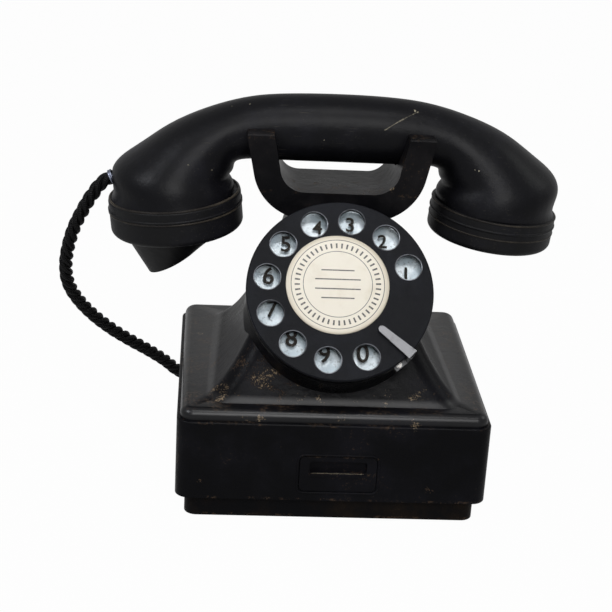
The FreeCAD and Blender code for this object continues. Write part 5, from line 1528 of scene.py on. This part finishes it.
@dataclass
class Housing:
    """Pressed steel body on its plinth, with the drawer in its front."""

    front: float = -70.0
    opening: tuple[float, float, float, float] = (-17.2, 22.2, 17.4, 37.8)
    corner: float = 3.4
    corner_steps: int = 6
    moulding: float = 0.45
    proud: float = 0.1
    lip: tuple[float, float, float, float] = (-11.0, 15.6, 27.1, 0.95)
    lip_wire: float = 0.42
    lip_end: float = 1.0
    sides: int = 10

    def drawer_surround(self) -> bpy.types.Object:
        """Makes the thin raised moulding round the drawer's opening.

        Returns:
            The moulding, riding on the housing.
        """
        left, right, low, high = self.opening
        corners = ((right, high, 0.0), (left, high, 90.0), (left, low, 180.0), (right, low, 270.0))
        loop = []
        for x, z, start in corners:
            middle_x = x - math.copysign(self.corner, x - (left + right) / 2)
            middle_z = z - math.copysign(self.corner, z - (low + high) / 2)
            for step in range(self.corner_steps + 1):
                angle = math.radians(start + 90.0 / self.corner_steps * step)
                reach = Vector((math.cos(angle), 0.0, math.sin(angle))) * self.corner
                loop.append((Vector((middle_x, self.front - self.proud, middle_z)) + reach) * MM)
        verts, faces = tube_rings(loop, self.moulding * MM, self.sides, True)
        return settle(mesh_object("drawer_surround", verts, faces, DRAWER_PAINT), "telephone")

    def slot_lip(self) -> bpy.types.Object:
        """Makes the bare worn lip under the drawer's label slot, which also paints a highlight along the
        ledge.

        Returns:
            The lip, riding on the drawer.
        """
        left, right, height, depth = self.lip
        stops = (left, left + self.lip_end, right - self.lip_end, right)
        ends = [Vector((x, self.front + depth, height)) * MM for x in stops]
        verts, faces = tube_rings(ends, self.lip_wire * MM, self.sides, False)
        return settle(mesh_object("slot_lip", verts, faces, LIP_WEAR_AND_HIGHLIGHT), "drawer")

    def build(self) -> None:
        """Dresses the body, the plinth, the drawer and what stands in the base."""
        smoothed("housing", HOUSING_PAINT, 30.0)
        smoothed("base_plate", BASE_PAINT)
        smoothed("card_drawer", DRAWER_PAINT)
        smoothed("rubber_feet", FOOT_RUBBER)
        smoothed("line_inlet", BUSH_RUBBER)
        smoothed("cord_gland", BUSH_RUBBER)
        self.drawer_surround()
        self.slot_lip()
        dress_nodes(INDEX_CARD, "drawer_card")
        dress_nodes(DARK_STEEL, "drawer_guide")
        dress_nodes(STEEL, "base_screws")


@dataclass
class BellSet:
    """Ringer, gongs and the circuit parts on the base."""

    winding: Finish = COIL_COTTON

    def build(self) -> None:
        """Dresses the ringer and the circuit parts."""
        smoothed("left_gong", GONG_BRASS)
        smoothed("right_gong", GONG_BRASS)
        dress_nodes(STEEL, "gong_posts", "gong_screws", "armature_pin")
        dress_nodes(DARK_STEEL, "ringer_frame")
        dress_nodes(self.winding, "ringer_coils", "induction_coil")
        dress_nodes(IRON, "coil_cores", "ringer_armature")
        dress_nodes(BRASS, "clapper", "terminal_screws")
        dress_nodes(TIN, "capacitor")
        dress_nodes(INSULATOR, "terminal_block")


# Studio

@dataclass(frozen=True)
class Viewpoint:
    """The photograph's camera."""

    azimuth_deg: float = -4.13
    elevation_deg: float = 21.96
    roll_deg: float = 3.35
    distance: float = 0.810
    target: Point = (-0.0123, 0.0050, 0.0846)
    focal_px: float = 1578.0
    frame_px: float = 612.0
    sensor_mm: float = 36.0

    def build(self) -> None:
        """Creates the camera and makes it the scene's."""
        azimuth = math.radians(self.azimuth_deg)
        elevation = math.radians(self.elevation_deg)
        roll = math.radians(self.roll_deg)
        flat = math.cos(elevation)
        back = Vector((math.sin(azimuth) * flat, -math.cos(azimuth) * flat, math.sin(elevation)))
        level = Vector((math.cos(azimuth), math.sin(azimuth), 0.0))
        upright = back.cross(level)
        right = level * math.cos(roll) + upright * math.sin(roll)
        up = upright * math.cos(roll) - level * math.sin(roll)
        data = bpy.data.cameras.new("camera")
        data.sensor_width = self.sensor_mm
        data.lens = self.sensor_mm * self.focal_px / self.frame_px
        camera = shown("camera", data)
        turn = Matrix((right, up, back)).transposed().to_4x4()
        camera.matrix_world = Matrix.Translation(Vector(self.target) + back * self.distance) @ turn
        bpy.context.scene.camera = camera


@dataclass(frozen=True)
class Lamp:
    """One soft rectangular lamp."""

    name: str
    place: Point
    width: float
    height: float
    watts: float
    colour: Colour = (1.0, 1.0, 1.0)

    def build(self, target: Point) -> None:
        """Hangs the lamp so that it faces target.

        Args:
            target: the point it lights.
        """
        data = bpy.data.lights.new(self.name, "AREA")
        data.shape = "RECTANGLE"
        data.size = self.width
        data.size_y = self.height
        data.energy = self.watts
        data.color = self.colour
        lamp = shown(self.name, data)
        lamp.location = self.place
        lamp.rotation_euler = (Vector(target) - Vector(self.place)).to_track_quat("-Z", "Y").to_euler()


@dataclass
class Studio:
    """White ground, plain surround and soft lamps."""

    surround: float = 0.02
    reach: float = 3.0
    target: Point = (0.0, 0.0, 0.10)
    lamps: tuple[Lamp, ...] = (
        Lamp("left_window", (-0.85, -0.45, 0.95), 0.40, 0.40, 5.6, (0.93, 0.95, 1.0)),
        Lamp("right_window", (0.95, 0.10, 0.80), 0.40, 0.50, 1.4, (0.97, 1.0, 0.97)),
        Lamp("top_front", (0.05, -0.55, 1.30), 0.40, 0.30, 3.4),
        Lamp("front_fill", (0.05, -1.15, 0.85), 0.60, 0.60, 8.0),
    )

    def world(self) -> None:
        """Sets a surround that is white to the eye and gentle as a light."""
        world = bpy.data.worlds.new("surround")
        sheet = NodeSheet(world)
        strength = sheet.seen() * (1.0 - self.surround) + self.surround
        inputs = {"Color": (1.0, 1.0, 1.0), "Strength": strength}
        sheet.end("ShaderNodeOutputWorld", sheet.node("ShaderNodeBackground", {}, inputs))
        bpy.context.scene.world = world

    def ground(self) -> None:
        """Lays the white ground under the feet."""
        signs = ((-1.0, -1.0), (1.0, -1.0), (1.0, 1.0), (-1.0, 1.0))
        mesh = bpy.data.meshes.new("ground")
        mesh.from_pydata([(self.reach * x, self.reach * y, 0.0) for x, y in signs], [], [(0, 1, 2, 3)])
        mesh.materials.append(Ground("white_ground", "none").dress())
        floor = shown("ground", mesh)

    def build(self) -> None:
        """Builds the surround, the ground and the lamps."""
        self.world()
        self.ground()
        for lamp in self.lamps:
            lamp.build(self.target)
        bpy.context.scene.view_settings.view_transform = "Standard"


def main() -> None:
    """Builds the telephone and its studio in order."""
    logging.basicConfig(level=logging.INFO, format="%(name)s: %(message)s")
    parts = (Viewpoint(), Rope(), CordExit(), Handset(), Cradle(), Dial(), Housing(), BellSet(), Studio())
    for part in parts:
        part.build()
        LOG.info("%s done", type(part).__name__)


if __name__ == "__main__":
    main()
